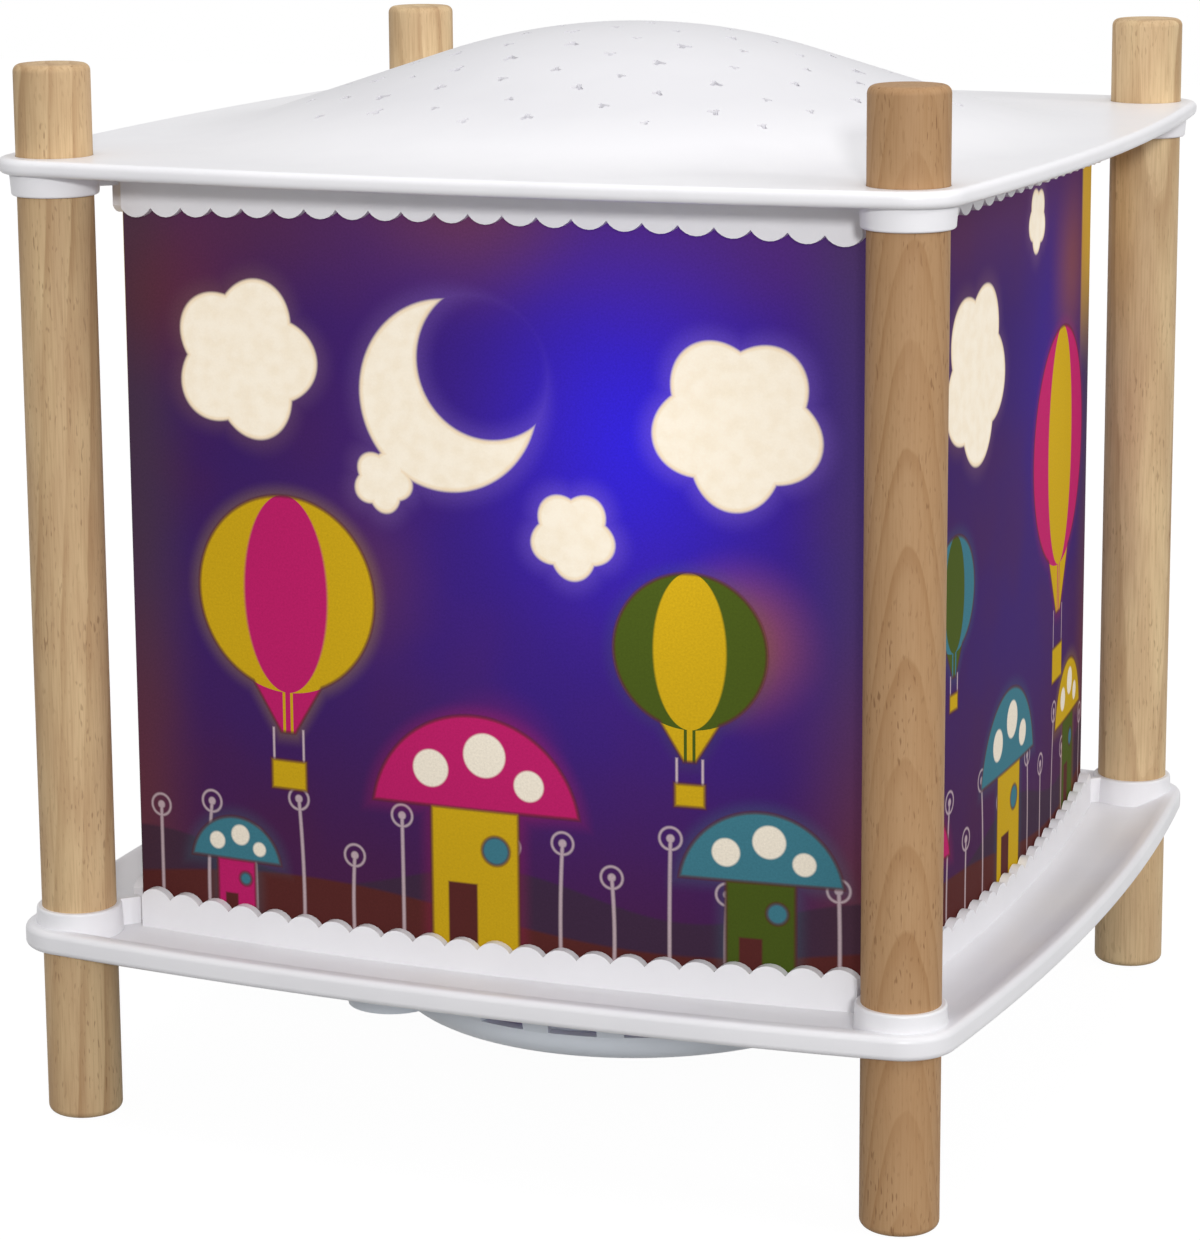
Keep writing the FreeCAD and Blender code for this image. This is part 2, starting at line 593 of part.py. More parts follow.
# ---------------------------------------------------------------- lamp
def hex_nut(bottom):
    corner = NUT_ACROSS_FLATS / math.sqrt(3)
    corners = [V(corner * math.cos(math.radians(60 * index)),
                 corner * math.sin(math.radians(60 * index)), bottom) for index in range(6)]
    blank = Part.Face(polyline(corners)).extrude(V(0, 0, NUT_HEIGHT))
    return blank.cut(cylinder(STEM_DIAMETER / 2, bottom - CUT_LAP, bottom + NUT_HEIGHT + CUT_LAP))


def stem():
    return ring(STEM_BORE / 2, STEM_DIAMETER / 2, STEM_BOTTOM_HEIGHT, STEM_TOP_HEIGHT)


def stem_nuts():
    """One under the tray, one on its hub, one under the bracket and one over it."""
    heights = (TRAY_UNDERSIDE_HEIGHT - NUT_HEIGHT, TRAY_SURFACE + HUB_HEIGHT,
               BRACKET_UNDERSIDE - NUT_HEIGHT, BRACKET_TOP)
    return Part.makeCompound([hex_nut(height) for height in heights])


def lamp_bracket():
    """Steel strip on the stem, with ears that rise beside the nut to carry the holder."""
    strip = box(BRACKET_LENGTH, BRACKET_WIDTH, BRACKET_UNDERSIDE, BRACKET_TOP)
    uprights = [edge for edge in strip.Edges if not is_level(edge)]
    strip = strip.makeFillet(BRACKET_CORNER_RADIUS, uprights)
    ear_x = HOLDER_LENGTH / 2 + BRACKET_THICKNESS / 2
    ears = [box(BRACKET_THICKNESS, HOLDER_WIDTH, BRACKET_TOP, HOLDER_BASE + BRACKET_EAR_LAP,
                side * ear_x) for side in (-1, 1)]
    body = fused([strip] + ears)
    below = BRACKET_UNDERSIDE - CUT_LAP
    above = BRACKET_TOP + CUT_LAP
    arch_holes = [cylinder(ARCH_WIRE / 2, below, above, side * ARCH_SPAN / 2)
                  for side in (-1, 1)]
    bore = cylinder(STEM_DIAMETER / 2 + STEM_GAP, below, above)
    return body.cut(arch_holes + [bore])


def pin_positions():
    return [(side * PIN_SPACING / 2, 0.0) for side in (-1, 1)]


def lampholder():
    """Ceramic block with two sockets for the bulb's pins."""
    block = box(HOLDER_LENGTH, HOLDER_WIDTH, HOLDER_BASE, HOLDER_TOP)
    uprights = [edge for edge in block.Edges if not is_level(edge)]
    block = block.makeFillet(HOLDER_CORNER_RADIUS, uprights)
    sockets = [cylinder(PIN_DIAMETER / 2, HOLDER_TOP - PIN_DEPTH, HOLDER_TOP + CUT_LAP, x, y)
               for x, y in pin_positions()]
    return block.cut(sockets)


def bulb_glass():
    """Capsule with a flat pinch at its foot and a domed, hollow top."""
    pinch = box(BULB_PINCH_WIDTH, BULB_PINCH_THICKNESS, HOLDER_TOP, PINCH_TOP)
    radius = BULB_DIAMETER / 2
    bottom = PINCH_TOP - BULB_LAP
    top = HOLDER_TOP + BULB_HEIGHT
    barrel = fused([cylinder(radius, bottom + radius, top - radius),
                    Part.makeSphere(radius, V(0, 0, bottom + radius)),
                    Part.makeSphere(radius, V(0, 0, top - radius))])
    hollow = radius - BULB_WALL
    space = fused([cylinder(hollow, bottom + radius, top - radius),
                   Part.makeSphere(hollow, V(0, 0, bottom + radius)),
                   Part.makeSphere(hollow, V(0, 0, top - radius))])
    pins = [cylinder(PIN_DIAMETER / 2, HOLDER_TOP - CUT_LAP, PIN_TOP, x, y)
            for x, y in pin_positions()]
    return fused([pinch, barrel]).cut([space] + pins)


def bulb_pins():
    pins = [cylinder(PIN_DIAMETER / 2, HOLDER_TOP - PIN_DEPTH, PIN_TOP, x, y)
            for x, y in pin_positions()]
    return Part.makeCompound(pins)


def filament():
    """The coil as one slim rod across the capsule, on two upright supports."""
    height = PINCH_TOP + FILAMENT_HEIGHT
    coil = Part.makeCylinder(FILAMENT_DIAMETER / 2, FILAMENT_LENGTH,
                             V(-FILAMENT_LENGTH / 2, 0, height), V(1, 0, 0))
    supports = [cylinder(PIN_DIAMETER / 2, PIN_TOP, height, x, y) for x, y in pin_positions()]
    return fused([coil] + supports)


def pivot_arch():
    """Bent wire over the bulb: two legs in the bracket and a half-round top."""
    half = ARCH_SPAN / 2
    shoulder = ARCH_TOP_HEIGHT - half
    start = V(-half, 0, BRACKET_UNDERSIDE)
    path = Part.Wire([
        Part.makeLine(start, V(-half, 0, shoulder)),
        Part.Arc(V(-half, 0, shoulder), V(0, 0, ARCH_TOP_HEIGHT), V(half, 0, shoulder)).toShape(),
        Part.makeLine(V(half, 0, shoulder), V(half, 0, BRACKET_UNDERSIDE))])
    section = Part.Wire(Part.makeCircle(ARCH_WIRE / 2, start, UP))
    wire = path.makePipeShell([section], True, False)
    return wire.cut(cylinder(NEEDLE_DIAMETER / 2, ARCH_TOP_HEIGHT - ARCH_WIRE,
                             ARCH_TOP_HEIGHT + ARCH_WIRE))


def pivot_needle():
    """Hardened needle set through the top of the arch, with a turned point."""
    radius = NEEDLE_DIAMETER / 2
    shank = cylinder(radius, ARCH_TOP_HEIGHT - ARCH_WIRE / 2, NEEDLE_TIP - NEEDLE_POINT)
    point = Part.makeCone(radius, NEEDLE_TIP_RADIUS, NEEDLE_POINT,
                          V(0, 0, NEEDLE_TIP - NEEDLE_POINT), UP)
    return fused([shank, point])


# ---------------------------------------------------------------- drum
def drum_film():
    return ring(DRUM_RADIUS - FILM_THICKNESS, DRUM_RADIUS, DRUM_BOTTOM_HEIGHT, DRUM_TOP_HEIGHT)


def drum_hoop():
    """Plain hoop that keeps the film's lower edge round."""
    return ring(WHEEL_INSIDE - HOOP_THICKNESS, WHEEL_INSIDE, DRUM_BOTTOM_HEIGHT,
                DRUM_BOTTOM_HEIGHT + HOOP_HEIGHT)


def vane():
    """One pitched, tapered blade along +X, from the hub to the rim."""
    root = WHEEL_HUB_RADIUS - VANE_LAP
    tip = WHEEL_INSIDE - WHEEL_RIM_THICKNESS + VANE_LAP
    level = -VANE_THICKNESS / 2
    blade = Part.Face(polyline([V(root, -VANE_ROOT_CHORD / 2, level), V(tip, -VANE_CHORD / 2, level),
                                V(tip, VANE_CHORD / 2, level), V(root, VANE_ROOT_CHORD / 2, level)]))
    blade = blade.extrude(V(0, 0, VANE_THICKNESS))
    blade.rotate(V(0, 0, 0), V(1, 0, 0), VANE_PITCH)
    blade.translate(V(0, 0, DRUM_TOP_HEIGHT - WHEEL_RIM_HEIGHT / 2))
    return blade


def turbine_wheel():
    """Vaned wheel: the rim carries the film and the hub holds the pivot cup."""
    rim = ring(WHEEL_INSIDE - WHEEL_RIM_THICKNESS, WHEEL_INSIDE, WHEEL_BOTTOM, DRUM_TOP_HEIGHT)
    hub_foot = WHEEL_HUB_TOP - WHEEL_HUB_HEIGHT
    hub = cylinder(WHEEL_HUB_RADIUS, hub_foot, WHEEL_HUB_TOP)
    wheel = fused([rim, hub] + around(vane(), VANE_COUNT))
    seat = cylinder(CUP_RADIUS, hub_foot - CUT_LAP, CUP_BOTTOM + CUP_HEIGHT)
    return wheel.cut(seat)


def pivot_cup():
    """Brass cup in the hub; the needle's point runs in its cone."""
    cup = cylinder(CUP_RADIUS, CUP_BOTTOM, CUP_BOTTOM + CUP_HEIGHT)
    cone = Part.makeCone(CUP_CONE_RADIUS, 2 * NEEDLE_TIP_RADIUS, CUP_CONE_DEPTH,
                         V(0, 0, CUP_BOTTOM), UP)
    return cup.cut(cone)


# ---------------------------------------------------------------- supply parts
def terminal_block():
    """Two-way block on the pod's floor, with a bore for each pole."""
    block = box(BLOCK_LENGTH, BLOCK_WIDTH, POD_FLOOR, POD_FLOOR + BLOCK_HEIGHT, 0, BLOCK_OFFSET)
    near_face = BLOCK_OFFSET - BLOCK_WIDTH / 2
    bores = [Part.makeCylinder(BLOCK_BORE / 2, BLOCK_WIDTH + 2 * CUT_LAP,
                               V(side * BLOCK_POLE_SPACING / 2, near_face - CUT_LAP,
                                 POD_FLOOR + BLOCK_HEIGHT / 2), V(0, 1, 0))
             for side in (-1, 1)]
    return block.cut(bores)


def inner_lead(side):
    """One lead: out of the block's bore, inwards to the axis, and up the stem."""
    level = POD_FLOOR + BLOCK_HEIGHT / 2
    start = V(side * BLOCK_POLE_SPACING / 2, BLOCK_OFFSET, level)
    turn = start - V(0, BLOCK_WIDTH / 2 + LEAD_STUB, 0)
    corner = V(side * LEAD_SPACING / 2, 0, level)
    outward = (turn - corner).normalize()
    before = corner + outward * LEAD_BEND
    after = corner + UP * LEAD_BEND
    middle = corner + (outward + UP) * (LEAD_BEND * (1 - math.sqrt(0.5)))
    path = Part.Wire([Part.makeLine(turn, before), Part.Arc(before, middle, after).toShape(),
                      Part.makeLine(after, V(corner.x, 0, HOLDER_BASE))])
    section = Part.Wire(Part.makeCircle(LEAD_DIAMETER / 2, turn, outward))
    stub = Part.makeCylinder(LEAD_DIAMETER / 2, (start - turn).Length, turn, V(0, 1, 0))
    elbow = Part.makeSphere(LEAD_DIAMETER / 2, turn)
    return fused([path.makePipeShell([section], True, False), elbow, stub])


def inner_leads():
    return Part.makeCompound([inner_lead(side) for side in (-1, 1)])


# ---------------------------------------------------------------- export
def nodes():
    parts = {name: post(x, y) for name, (x, y) in CORNERS.items()}
    parts["tray"] = tray()
    parts["shade"] = shade()
    parts["cover"] = cover()
    parts["pod"] = pod()
    parts["pod_screws"] = pod_screws()
    parts["stem"] = stem()
    parts["stem_nuts"] = stem_nuts()
    parts["lamp_bracket"] = lamp_bracket()
    parts["lampholder"] = lampholder()
    parts["bulb_glass"] = bulb_glass()
    parts["bulb_pins"] = bulb_pins()
    parts["bulb_filament"] = filament()
    parts["pivot_arch"] = pivot_arch()
    parts["pivot_needle"] = pivot_needle()
    parts["drum_film"] = drum_film()
    parts["drum_hoop"] = drum_hoop()
    parts["turbine_wheel"] = turbine_wheel()
    parts["pivot_cup"] = pivot_cup()
    parts["terminal_block"] = terminal_block()
    parts["inner_leads"] = inner_leads()
    return parts


def main():
    os.makedirs("parts", exist_ok=True)
    for name, shape in nodes().items():
        shape.exportStep("parts/" + name + ".step")
        print(name, len(shape.Solids), round(shape.Volume, 1), shape.isValid())


main()
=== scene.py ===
# %% [markdown]
# # A rotating motion lamp
#
# Four beech posts carry a white moulded tray and a domed cover.  Between them stands a
# printed sheet, folded into a bowed square and lit from inside.  A printed drum turns
# behind it on a needle.  The engineering model comes first, as a fixed frame: it says how
# large each piece is and where it stands, so nothing has to be fitted by eye afterwards.

# %% Load the frame
import json
import math
import random
from functools import reduce

import bmesh
import bpy
from mathutils import Matrix, Vector

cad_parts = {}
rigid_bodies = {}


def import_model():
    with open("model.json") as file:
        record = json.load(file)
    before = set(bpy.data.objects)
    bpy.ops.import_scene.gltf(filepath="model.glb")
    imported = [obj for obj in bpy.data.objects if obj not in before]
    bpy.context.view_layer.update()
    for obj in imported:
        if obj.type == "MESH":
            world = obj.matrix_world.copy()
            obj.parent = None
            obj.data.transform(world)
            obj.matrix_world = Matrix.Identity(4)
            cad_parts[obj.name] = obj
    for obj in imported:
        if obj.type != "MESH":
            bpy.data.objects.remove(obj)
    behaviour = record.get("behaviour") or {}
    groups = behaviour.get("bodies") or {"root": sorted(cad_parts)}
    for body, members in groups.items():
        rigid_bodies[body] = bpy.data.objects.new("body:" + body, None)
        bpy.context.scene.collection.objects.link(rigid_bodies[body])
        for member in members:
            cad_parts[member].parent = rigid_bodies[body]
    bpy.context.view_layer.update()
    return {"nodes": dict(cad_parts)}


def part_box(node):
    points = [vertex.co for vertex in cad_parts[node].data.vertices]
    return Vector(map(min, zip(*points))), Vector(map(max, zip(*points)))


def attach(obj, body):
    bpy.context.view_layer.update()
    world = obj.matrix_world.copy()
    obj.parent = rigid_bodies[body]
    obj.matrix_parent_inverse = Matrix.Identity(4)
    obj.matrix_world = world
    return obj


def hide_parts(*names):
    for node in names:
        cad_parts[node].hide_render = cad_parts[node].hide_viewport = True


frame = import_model()
nodes = frame["nodes"]
MM = 0.001

# %% [markdown]
# The pieces that are modelled here seat on the ones in the frame, so their main sizes are
# read from the frame's boxes.  Only what a box can't say is written as a number.

# %% Sizes read from the frame
post_low, post_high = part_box("post_front_right")
shade_low, shade_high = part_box("shade")
POST_RADIUS = (post_high.x - post_low.x) / 2
HALF_SPACING = (post_high.x + post_low.x) / 2
SHADE_BOW = 4.0 * MM
SHADE_HALF = shade_high.x - SHADE_BOW
TRAY_SURFACE = shade_low.z
PLATE_HALF_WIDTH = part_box("cover")[1].x
COVER_UNDERSIDE = shade_high.z + 0.3 * MM
COVER_THICKNESS = 2.8 * MM
COVER_SURFACE = COVER_UNDERSIDE + COVER_THICKNESS
print("post radius", POST_RADIUS / MM, "cover surface", COVER_SURFACE / MM)

# %% [markdown]
# Modelling by hand means: pick a piece, select some of its points, edges or faces, and act
# on them.  An operator acts on everything that is selected, so each helper starts from an
# empty selection, and a selection is a test on place or normal.


# %% Helpers for selecting
NEAR = 0.01 * MM
FLAT = 0.999


def object_mode():
    if bpy.context.mode != "OBJECT":
        bpy.ops.object.mode_set(mode="OBJECT")
    bpy.ops.object.select_all(action="DESELECT")


def pick(piece):
    """Object mode, with one piece selected and active."""
    object_mode()
    piece.select_set(True)
    bpy.context.view_layer.objects.active = piece


def edit(piece):
    """Edit mode on one piece, with nothing selected."""
    pick(piece)
    bpy.ops.object.mode_set(mode="EDIT")
    bpy.ops.mesh.select_all(action="DESELECT")


def select(kind, test):
    """Selects the points, edges or faces that pass a test, and only those."""
    bpy.ops.mesh.select_mode(type=kind)
    bpy.ops.mesh.select_all(action="DESELECT")
    mesh = bmesh.from_edit_mesh(bpy.context.object.data)
    for item in {"VERT": mesh.verts, "EDGE": mesh.edges, "FACE": mesh.faces}[kind]:
        if test(item):
            item.select_set(True)
    bmesh.update_edit_mesh(bpy.context.object.data)


def level(edge):
    return abs(edge.verts[0].co.z - edge.verts[1].co.z) < NEAR


# %% [markdown]
# Curved outlines are drawn as with compasses: one point is swept about a centre, and the
# sweep leaves edges behind it.  The spin operator turns clockwise for a positive angle, so
# `sweep` changes the sign, and its angles read counter-clockwise like everyone's.


# %% Helpers for drawing
UPRIGHT = (0, 0, 1)
WELD = 0.002 * MM


def name_it(piece, name):
    piece.name = name
    piece.data.name = name
    return piece


def just_added(name):
    """Names the solid that was just added, and makes its place and size its own."""
    piece = name_it(bpy.context.object, name)
    bpy.ops.object.transform_apply()
    return piece


def pen(name, place):
    """A new piece that is a single point, left selected in edit mode."""
    object_mode()
    bpy.ops.mesh.primitive_plane_add(size=MM, location=place)
    piece = just_added(name)
    bpy.ops.object.mode_set(mode="EDIT")
    bpy.ops.mesh.select_mode(type="VERT")
    bpy.ops.mesh.select_all(action="SELECT")
    bpy.ops.mesh.merge(type="CENTER")
    return piece


def sweep(centre, axis, angle, steps):
    bpy.ops.mesh.spin(steps=steps, angle=-angle, center=centre, axis=axis)


def pull(step, parts=1):
    """Draws on from the selection by a step, in equal parts."""
    for _ in range(parts):
        bpy.ops.mesh.extrude_region_move(
            TRANSFORM_OT_translate={"value": Vector(step) / parts})


def repeat_on_four_sides():
    bpy.ops.mesh.select_all(action="SELECT")
    bpy.ops.mesh.spin(steps=3, angle=3 * math.pi / 2, center=(0, 0, 0), axis=UPRIGHT,
                      dupli=True)


def weld():
    bpy.ops.mesh.select_all(action="SELECT")
    bpy.ops.mesh.remove_doubles(threshold=WELD)


def close_seams():
    weld()
    bpy.ops.mesh.normals_make_consistent(inside=False)


def raise_outline(step):
    """Fills the drawn outline and pulls it into a closed solid."""
    weld()
    bpy.ops.mesh.edge_face_add()
    pull(step)
    close_seams()


def turn_on_lathe(steps):
    """Spins the drawn profile all the way round the lamp's axis."""
    bpy.ops.mesh.select_all(action="SELECT")
    sweep((0, 0, 0), UPRIGHT, 2 * math.pi, steps)
    close_seams()


# %% [markdown]
# Modifiers are applied at once, so that each piece ends as a plain mesh.  A boolean joins
# two solids or cuts one from the other, and the tool that did it is thrown away.


# %% Helpers for finishing
def round_edges(test, width, steps):
    """Bevels the edges that pass a test."""
    select("EDGE", test)
    bpy.ops.mesh.bevel(offset=width, segments=steps, affect="EDGES")


def apply(piece, kind, **settings):
    pick(piece)
    modifier = piece.modifiers.new(kind.title(), kind)
    for name, value in settings.items():
        setattr(modifier, name, value)
    bpy.ops.object.modifier_apply(modifier=modifier.name)


def carve(piece, operation, tools):
    for tool in tools:
        apply(piece, "BOOLEAN", operation=operation, object=tool, solver="EXACT")
        bpy.data.objects.remove(tool)


def copy_of(piece, matrix, name=None):
    """A second piece with its own mesh, which holds its place."""
    twin = bpy.data.objects.new(name or piece.name, piece.data.copy())
    twin.data.transform(matrix)
    bpy.context.scene.collection.objects.link(twin)
    return name_it(twin, name or piece.name)


def quarters(piece):
    """The piece and three copies, one for each side or corner of the lamp."""
    return [piece] + [copy_of(piece, Matrix.Rotation(turn * math.pi / 2, 4, "Z"))
                      for turn in (1, 2, 3)]


def smooth(piece, degrees=30.0):
    """Smooth shading that keeps hard edges, weighted so that flat faces stay flat."""
    pick(piece)
    bpy.ops.object.shade_smooth_by_angle(angle=math.radians(degrees))
    apply(piece, "WEIGHTED_NORMAL", keep_sharp=True, weight=100)
    print(piece.name, "has", len(piece.data.polygons), "faces")


# %% [markdown]
# ## Beech posts
#
# A post is turned from a beech dowel: straight sides, a softly rounded rim and a faint
# crown on the end face.  A cylinder gives the dowel, and bevelling its two rims rounds
# them.  The crown is an inset whose middle is moved outwards, so the cylinder starts
# shorter by both crowns.

# %% Model one post and copy it
POST_RIM_ROUND = 1.3 * MM
POST_END_CROWN = 0.15 * MM


def turned_post():
    object_mode()
    height = post_high.z - post_low.z
    bpy.ops.mesh.primitive_cylinder_add(vertices=96, radius=POST_RADIUS,
                                        depth=height - 2 * POST_END_CROWN,
                                        location=(0, 0, height / 2))
    post = just_added("beech_post")
    edit(post)
    round_edges(level, POST_RIM_ROUND, 6)
    for side in (-1, 1):
        select("FACE", lambda face: side * face.normal.z > FLAT)
        bpy.ops.mesh.inset(thickness=0.5 * POST_RADIUS)
        bpy.ops.transform.translate(value=(0, 0, side * POST_END_CROWN))
    object_mode()
    return post


corners = {"front_left": (-1, -1), "front_right": (1, -1),
           "back_right": (1, 1), "back_left": (-1, 1)}
pattern_post = turned_post()
posts = {}
for corner, (side_x, side_y) in corners.items():
    place = Matrix.Translation((side_x * HALF_SPACING, side_y * HALF_SPACING, 0))
    posts[corner] = copy_of(pattern_post, place, "beech_post_" + corner)
    smooth(posts[corner], 40.0)
    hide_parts("post_" + corner)
    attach(posts[corner], "frame")
bpy.data.objects.remove(pattern_post)

# %% [markdown]
# ## The outline shared by the tray and the cover
#
# Both mouldings have the same outline, a square with bowed sides and a rounded corner
# about each post.  Four long arcs and four short ones make it, so one side and one corner
# are swept and the rest are turned copies.

# %% Draw the bowed outline
PLATE_SIDE_BOW = 4.2 * MM
PLATE_CORNER = PLATE_HALF_WIDTH - HALF_SPACING - PLATE_SIDE_BOW


def bowed_plate(name, bottom, top, rim_round):
    """A closed plate with softly rounded rims."""
    reach = PLATE_CORNER + PLATE_SIDE_BOW
    radius = (HALF_SPACING ** 2 + reach ** 2 - PLATE_CORNER ** 2) / (2 * PLATE_SIDE_BOW)
    centre = radius - reach - HALF_SPACING
    lean = math.atan2(HALF_SPACING, centre + HALF_SPACING)
    plate = pen(name, (-radius * math.sin(lean), centre - radius * math.cos(lean), bottom))
    sweep((0, centre, bottom), UPRIGHT, 2 * lean, 28)
    sweep((HALF_SPACING, -HALF_SPACING, bottom), UPRIGHT, math.pi / 2 - 2 * lean, 12)
    repeat_on_four_sides()
    raise_outline((0, 0, top - bottom))
    round_edges(level, rim_round, 5)
    object_mode()
    return plate


# %% [markdown]
# ## Scalloped walls
#
# The shade is held by a low fence on the tray and a skirt under the cover.  Each is a thin
# bowed wall whose free edge is a row of round lobes.  The row is drawn lobe by lobe as
# small arcs, pulled into a deep block, and cut by a bowed band: what both share is the
# wall.

# %% Model one scalloped wall
SCALLOP_COUNT = 22
SCALLOP_DEPTH = 1.6 * MM
SHEET_GAP = 0.3 * MM
WALL_THICKNESS = 1.6 * MM
WALL_INSIDE = SHADE_HALF + SHEET_GAP
WALL_OUTSIDE = WALL_INSIDE + WALL_THICKNESS
WALL_HALF_LENGTH = SHADE_HALF - 1.2 * MM
LIP_OUTSIDE = SHADE_HALF - 0.8 * MM
LIP_INSIDE = LIP_OUTSIDE - 1.2 * MM
LIP_HEIGHT = 3.0 * MM
WALL_EDGE_ROUND = 0.3 * MM


def bowed_band(name, outside, inside, half_length, bottom, top):
    """The front stretch of a bowed wall, as a closed block."""
    def arc(half):
        radius = (half ** 2 + SHADE_BOW ** 2) / (2 * SHADE_BOW)
        return radius, radius - half - SHADE_BOW, math.asin(half_length / radius)

    outer_radius, outer_centre, outer_lean = arc(outside)
    inner_radius, inner_centre, inner_lean = arc(inside)
    outer_end = outer_centre - outer_radius * math.cos(outer_lean)
    inner_end = inner_centre - inner_radius * math.cos(inner_lean)
    band = pen(name, (-half_length, outer_end, bottom))
    sweep((0, outer_centre, bottom), UPRIGHT, 2 * outer_lean, 44)
    pull((0, inner_end - outer_end, 0))
    sweep((0, inner_centre, bottom), UPRIGHT, -2 * inner_lean, 44)
    raise_outline((0, 0, top - bottom))
    object_mode()
    return band


def centre_through(start, crown, finish):
    """The centre of the circle through three points of the XZ plane."""
    chord, height = finish - start, crown - start
    cross = 2 * (chord.x * height.z - chord.z * height.x)
    return start + Vector((
        (height.z * chord.length_squared - chord.z * height.length_squared) / cross, 0,
        (chord.x * height.length_squared - height.x * chord.length_squared) / cross))


def scalloped_wall(name, root, edge, arch):
    """A wall from its root level to a scalloped free edge that arches along its length."""
    pointing = 1 if edge > root else -1
    pitch = 2 * WALL_HALF_LENGTH / SCALLOP_COUNT
    front = -WALL_INSIDE + 2 * MM

    def free_edge(x, drop=0.0):
        level_here = edge - pointing * arch * (1 - (x / WALL_HALF_LENGTH) ** 2)
        return Vector((x, front, level_here - pointing * drop))

    wall = pen(name, free_edge(-WALL_HALF_LENGTH, SCALLOP_DEPTH))
    for lobe in range(SCALLOP_COUNT):
        left = -WALL_HALF_LENGTH + lobe * pitch
        start, finish = free_edge(left, SCALLOP_DEPTH), free_edge(left + pitch, SCALLOP_DEPTH)
        centre = centre_through(start, free_edge(left + pitch / 2), finish)
        turn = (math.atan2(start.z - centre.z, start.x - centre.x)
                - math.atan2(finish.z - centre.z, finish.x - centre.x))
        sweep(centre, (0, 1, 0), turn, 8)
    pull((0, 0, root - finish.z))
    pull((-2 * WALL_HALF_LENGTH, 0, 0))
    raise_outline((0, -3 * SHADE_BOW, 0))
    object_mode()
    low, high = min(root, edge) - MM, max(root, edge) + MM
    carve(wall, "INTERSECT", [bowed_band("band", WALL_OUTSIDE, WALL_INSIDE,
                                         WALL_HALF_LENGTH + MM, low, high)])
    apply(wall, "BEVEL", width=WALL_EDGE_ROUND, segments=2, limit_method="ANGLE",
          angle_limit=math.radians(60))
    return wall


# %% [markdown]
# Each post passes through a short collar, and a thin web ties the collar to the corner of
# the walls.  A collar starts as a cone, because a moulding needs draft to leave its tool,
# and its free rim is bevelled.

# %% Model collars and webs
COLLAR_WALL = 0.9 * MM
COLLAR_DRAFT = 0.35 * MM
COLLAR_RIM_ROUND = 0.4 * MM
WEB_THICKNESS = 1.4 * MM
OVERLAP = 0.5 * MM


def collar(root, tip):
    object_mode()
    wide, narrow = POST_RADIUS + COLLAR_WALL + COLLAR_DRAFT, POST_RADIUS + COLLAR_WALL
    lower, upper = (wide, narrow) if tip > root else (narrow, wide)
    bpy.ops.mesh.primitive_cone_add(vertices=72, radius1=lower, radius2=upper,
                                    depth=abs(tip - root),
                                    location=(HALF_SPACING, -HALF_SPACING, (root + tip) / 2))
    cone = just_added("collar")
    edit(cone)
    round_edges(lambda edge: level(edge) and abs(edge.verts[0].co.z - tip) < NEAR,
                COLLAR_RIM_ROUND, 3)
    object_mode()
    return cone


def web(bottom, top):
    object_mode()
    start, finish = WALL_INSIDE * math.sqrt(2), HALF_SPACING * math.sqrt(2)
    bpy.ops.mesh.primitive_cube_add(
        size=1, location=((start + finish) / 2, 0, (bottom + top) / 2),
        scale=(finish - start, WEB_THICKNESS, top - bottom))
    strip = just_added("web")
    edit(strip)
    round_edges(lambda edge: level(edge)
                and abs(edge.verts[0].co.y - edge.verts[1].co.y) < MM, WALL_EDGE_ROUND, 2)
    object_mode()
    strip.data.transform(Matrix.Rotation(-math.pi / 4, 4, "Z"))
    return strip


def upright(name, radius, bottom, top, x=0.0, y=0.0, points=72):
    """A plain round bar, used to cut a bore or to become part of a moulding."""
    object_mode()
    bpy.ops.mesh.primitive_cylinder_add(vertices=points, radius=radius, depth=top - bottom,
                                        location=(x, y, (bottom + top) / 2))
    return just_added(name)


# %% [markdown]
# ## The cover
#
# The cover is one moulding: a bowed plate that swells into a shallow dome, hollow below.
# In section the dome is a round crown, a straight flank and a flare that runs out into the
# plate, so it is turned on a lathe from two arcs and a line.  A drawn profile keeps those
# three tangent to each other, which a pushed and pulled grid wouldn't.

# %% Turn the dome
DOME_RADIUS = PLATE_HALF_WIDTH - 4.7 * MM
CROWN_RADIUS = 110 * MM
FLARE_RADIUS = 60 * MM
SLOPE = math.radians(18)
DOME_WALL = 2.2 * MM
HOLLOW_RADIUS = LIP_INSIDE - 3.0 * MM
flank_run = DOME_RADIUS - (CROWN_RADIUS + FLARE_RADIUS) * math.sin(SLOPE)
dome_rise = (CROWN_RADIUS + FLARE_RADIUS) * (1 - math.cos(SLOPE)) + flank_run * math.tan(SLOPE)
CROWN_CENTRE = COVER_SURFACE + dome_rise - CROWN_RADIUS
AROUND_Y = (0, 1, 0)


def crown_from(point, crown, steps):
    """Draws the flank up to the shoulder and the crown over to the axis."""
    shoulder = Vector((crown * math.sin(SLOPE), 0, CROWN_CENTRE + crown * math.cos(SLOPE)))
    pull(shoulder - point, steps)
    sweep((0, 0, CROWN_CENTRE), AROUND_Y, -SLOPE, steps)


def dome_outside():
    dome = pen("dome", (0, 0, COVER_UNDERSIDE + OVERLAP))
    pull((DOME_RADIUS, 0, 0))
    pull((0, 0, COVER_THICKNESS - OVERLAP))
    sweep((DOME_RADIUS, 0, COVER_SURFACE + FLARE_RADIUS), AROUND_Y, SLOPE, 10)
    knee = Vector((DOME_RADIUS - FLARE_RADIUS * math.sin(SLOPE), 0,
                   COVER_SURFACE + FLARE_RADIUS * (1 - math.cos(SLOPE))))
    crown_from(knee, CROWN_RADIUS, 12)
    turn_on_lathe(180)
    object_mode()
    return dome


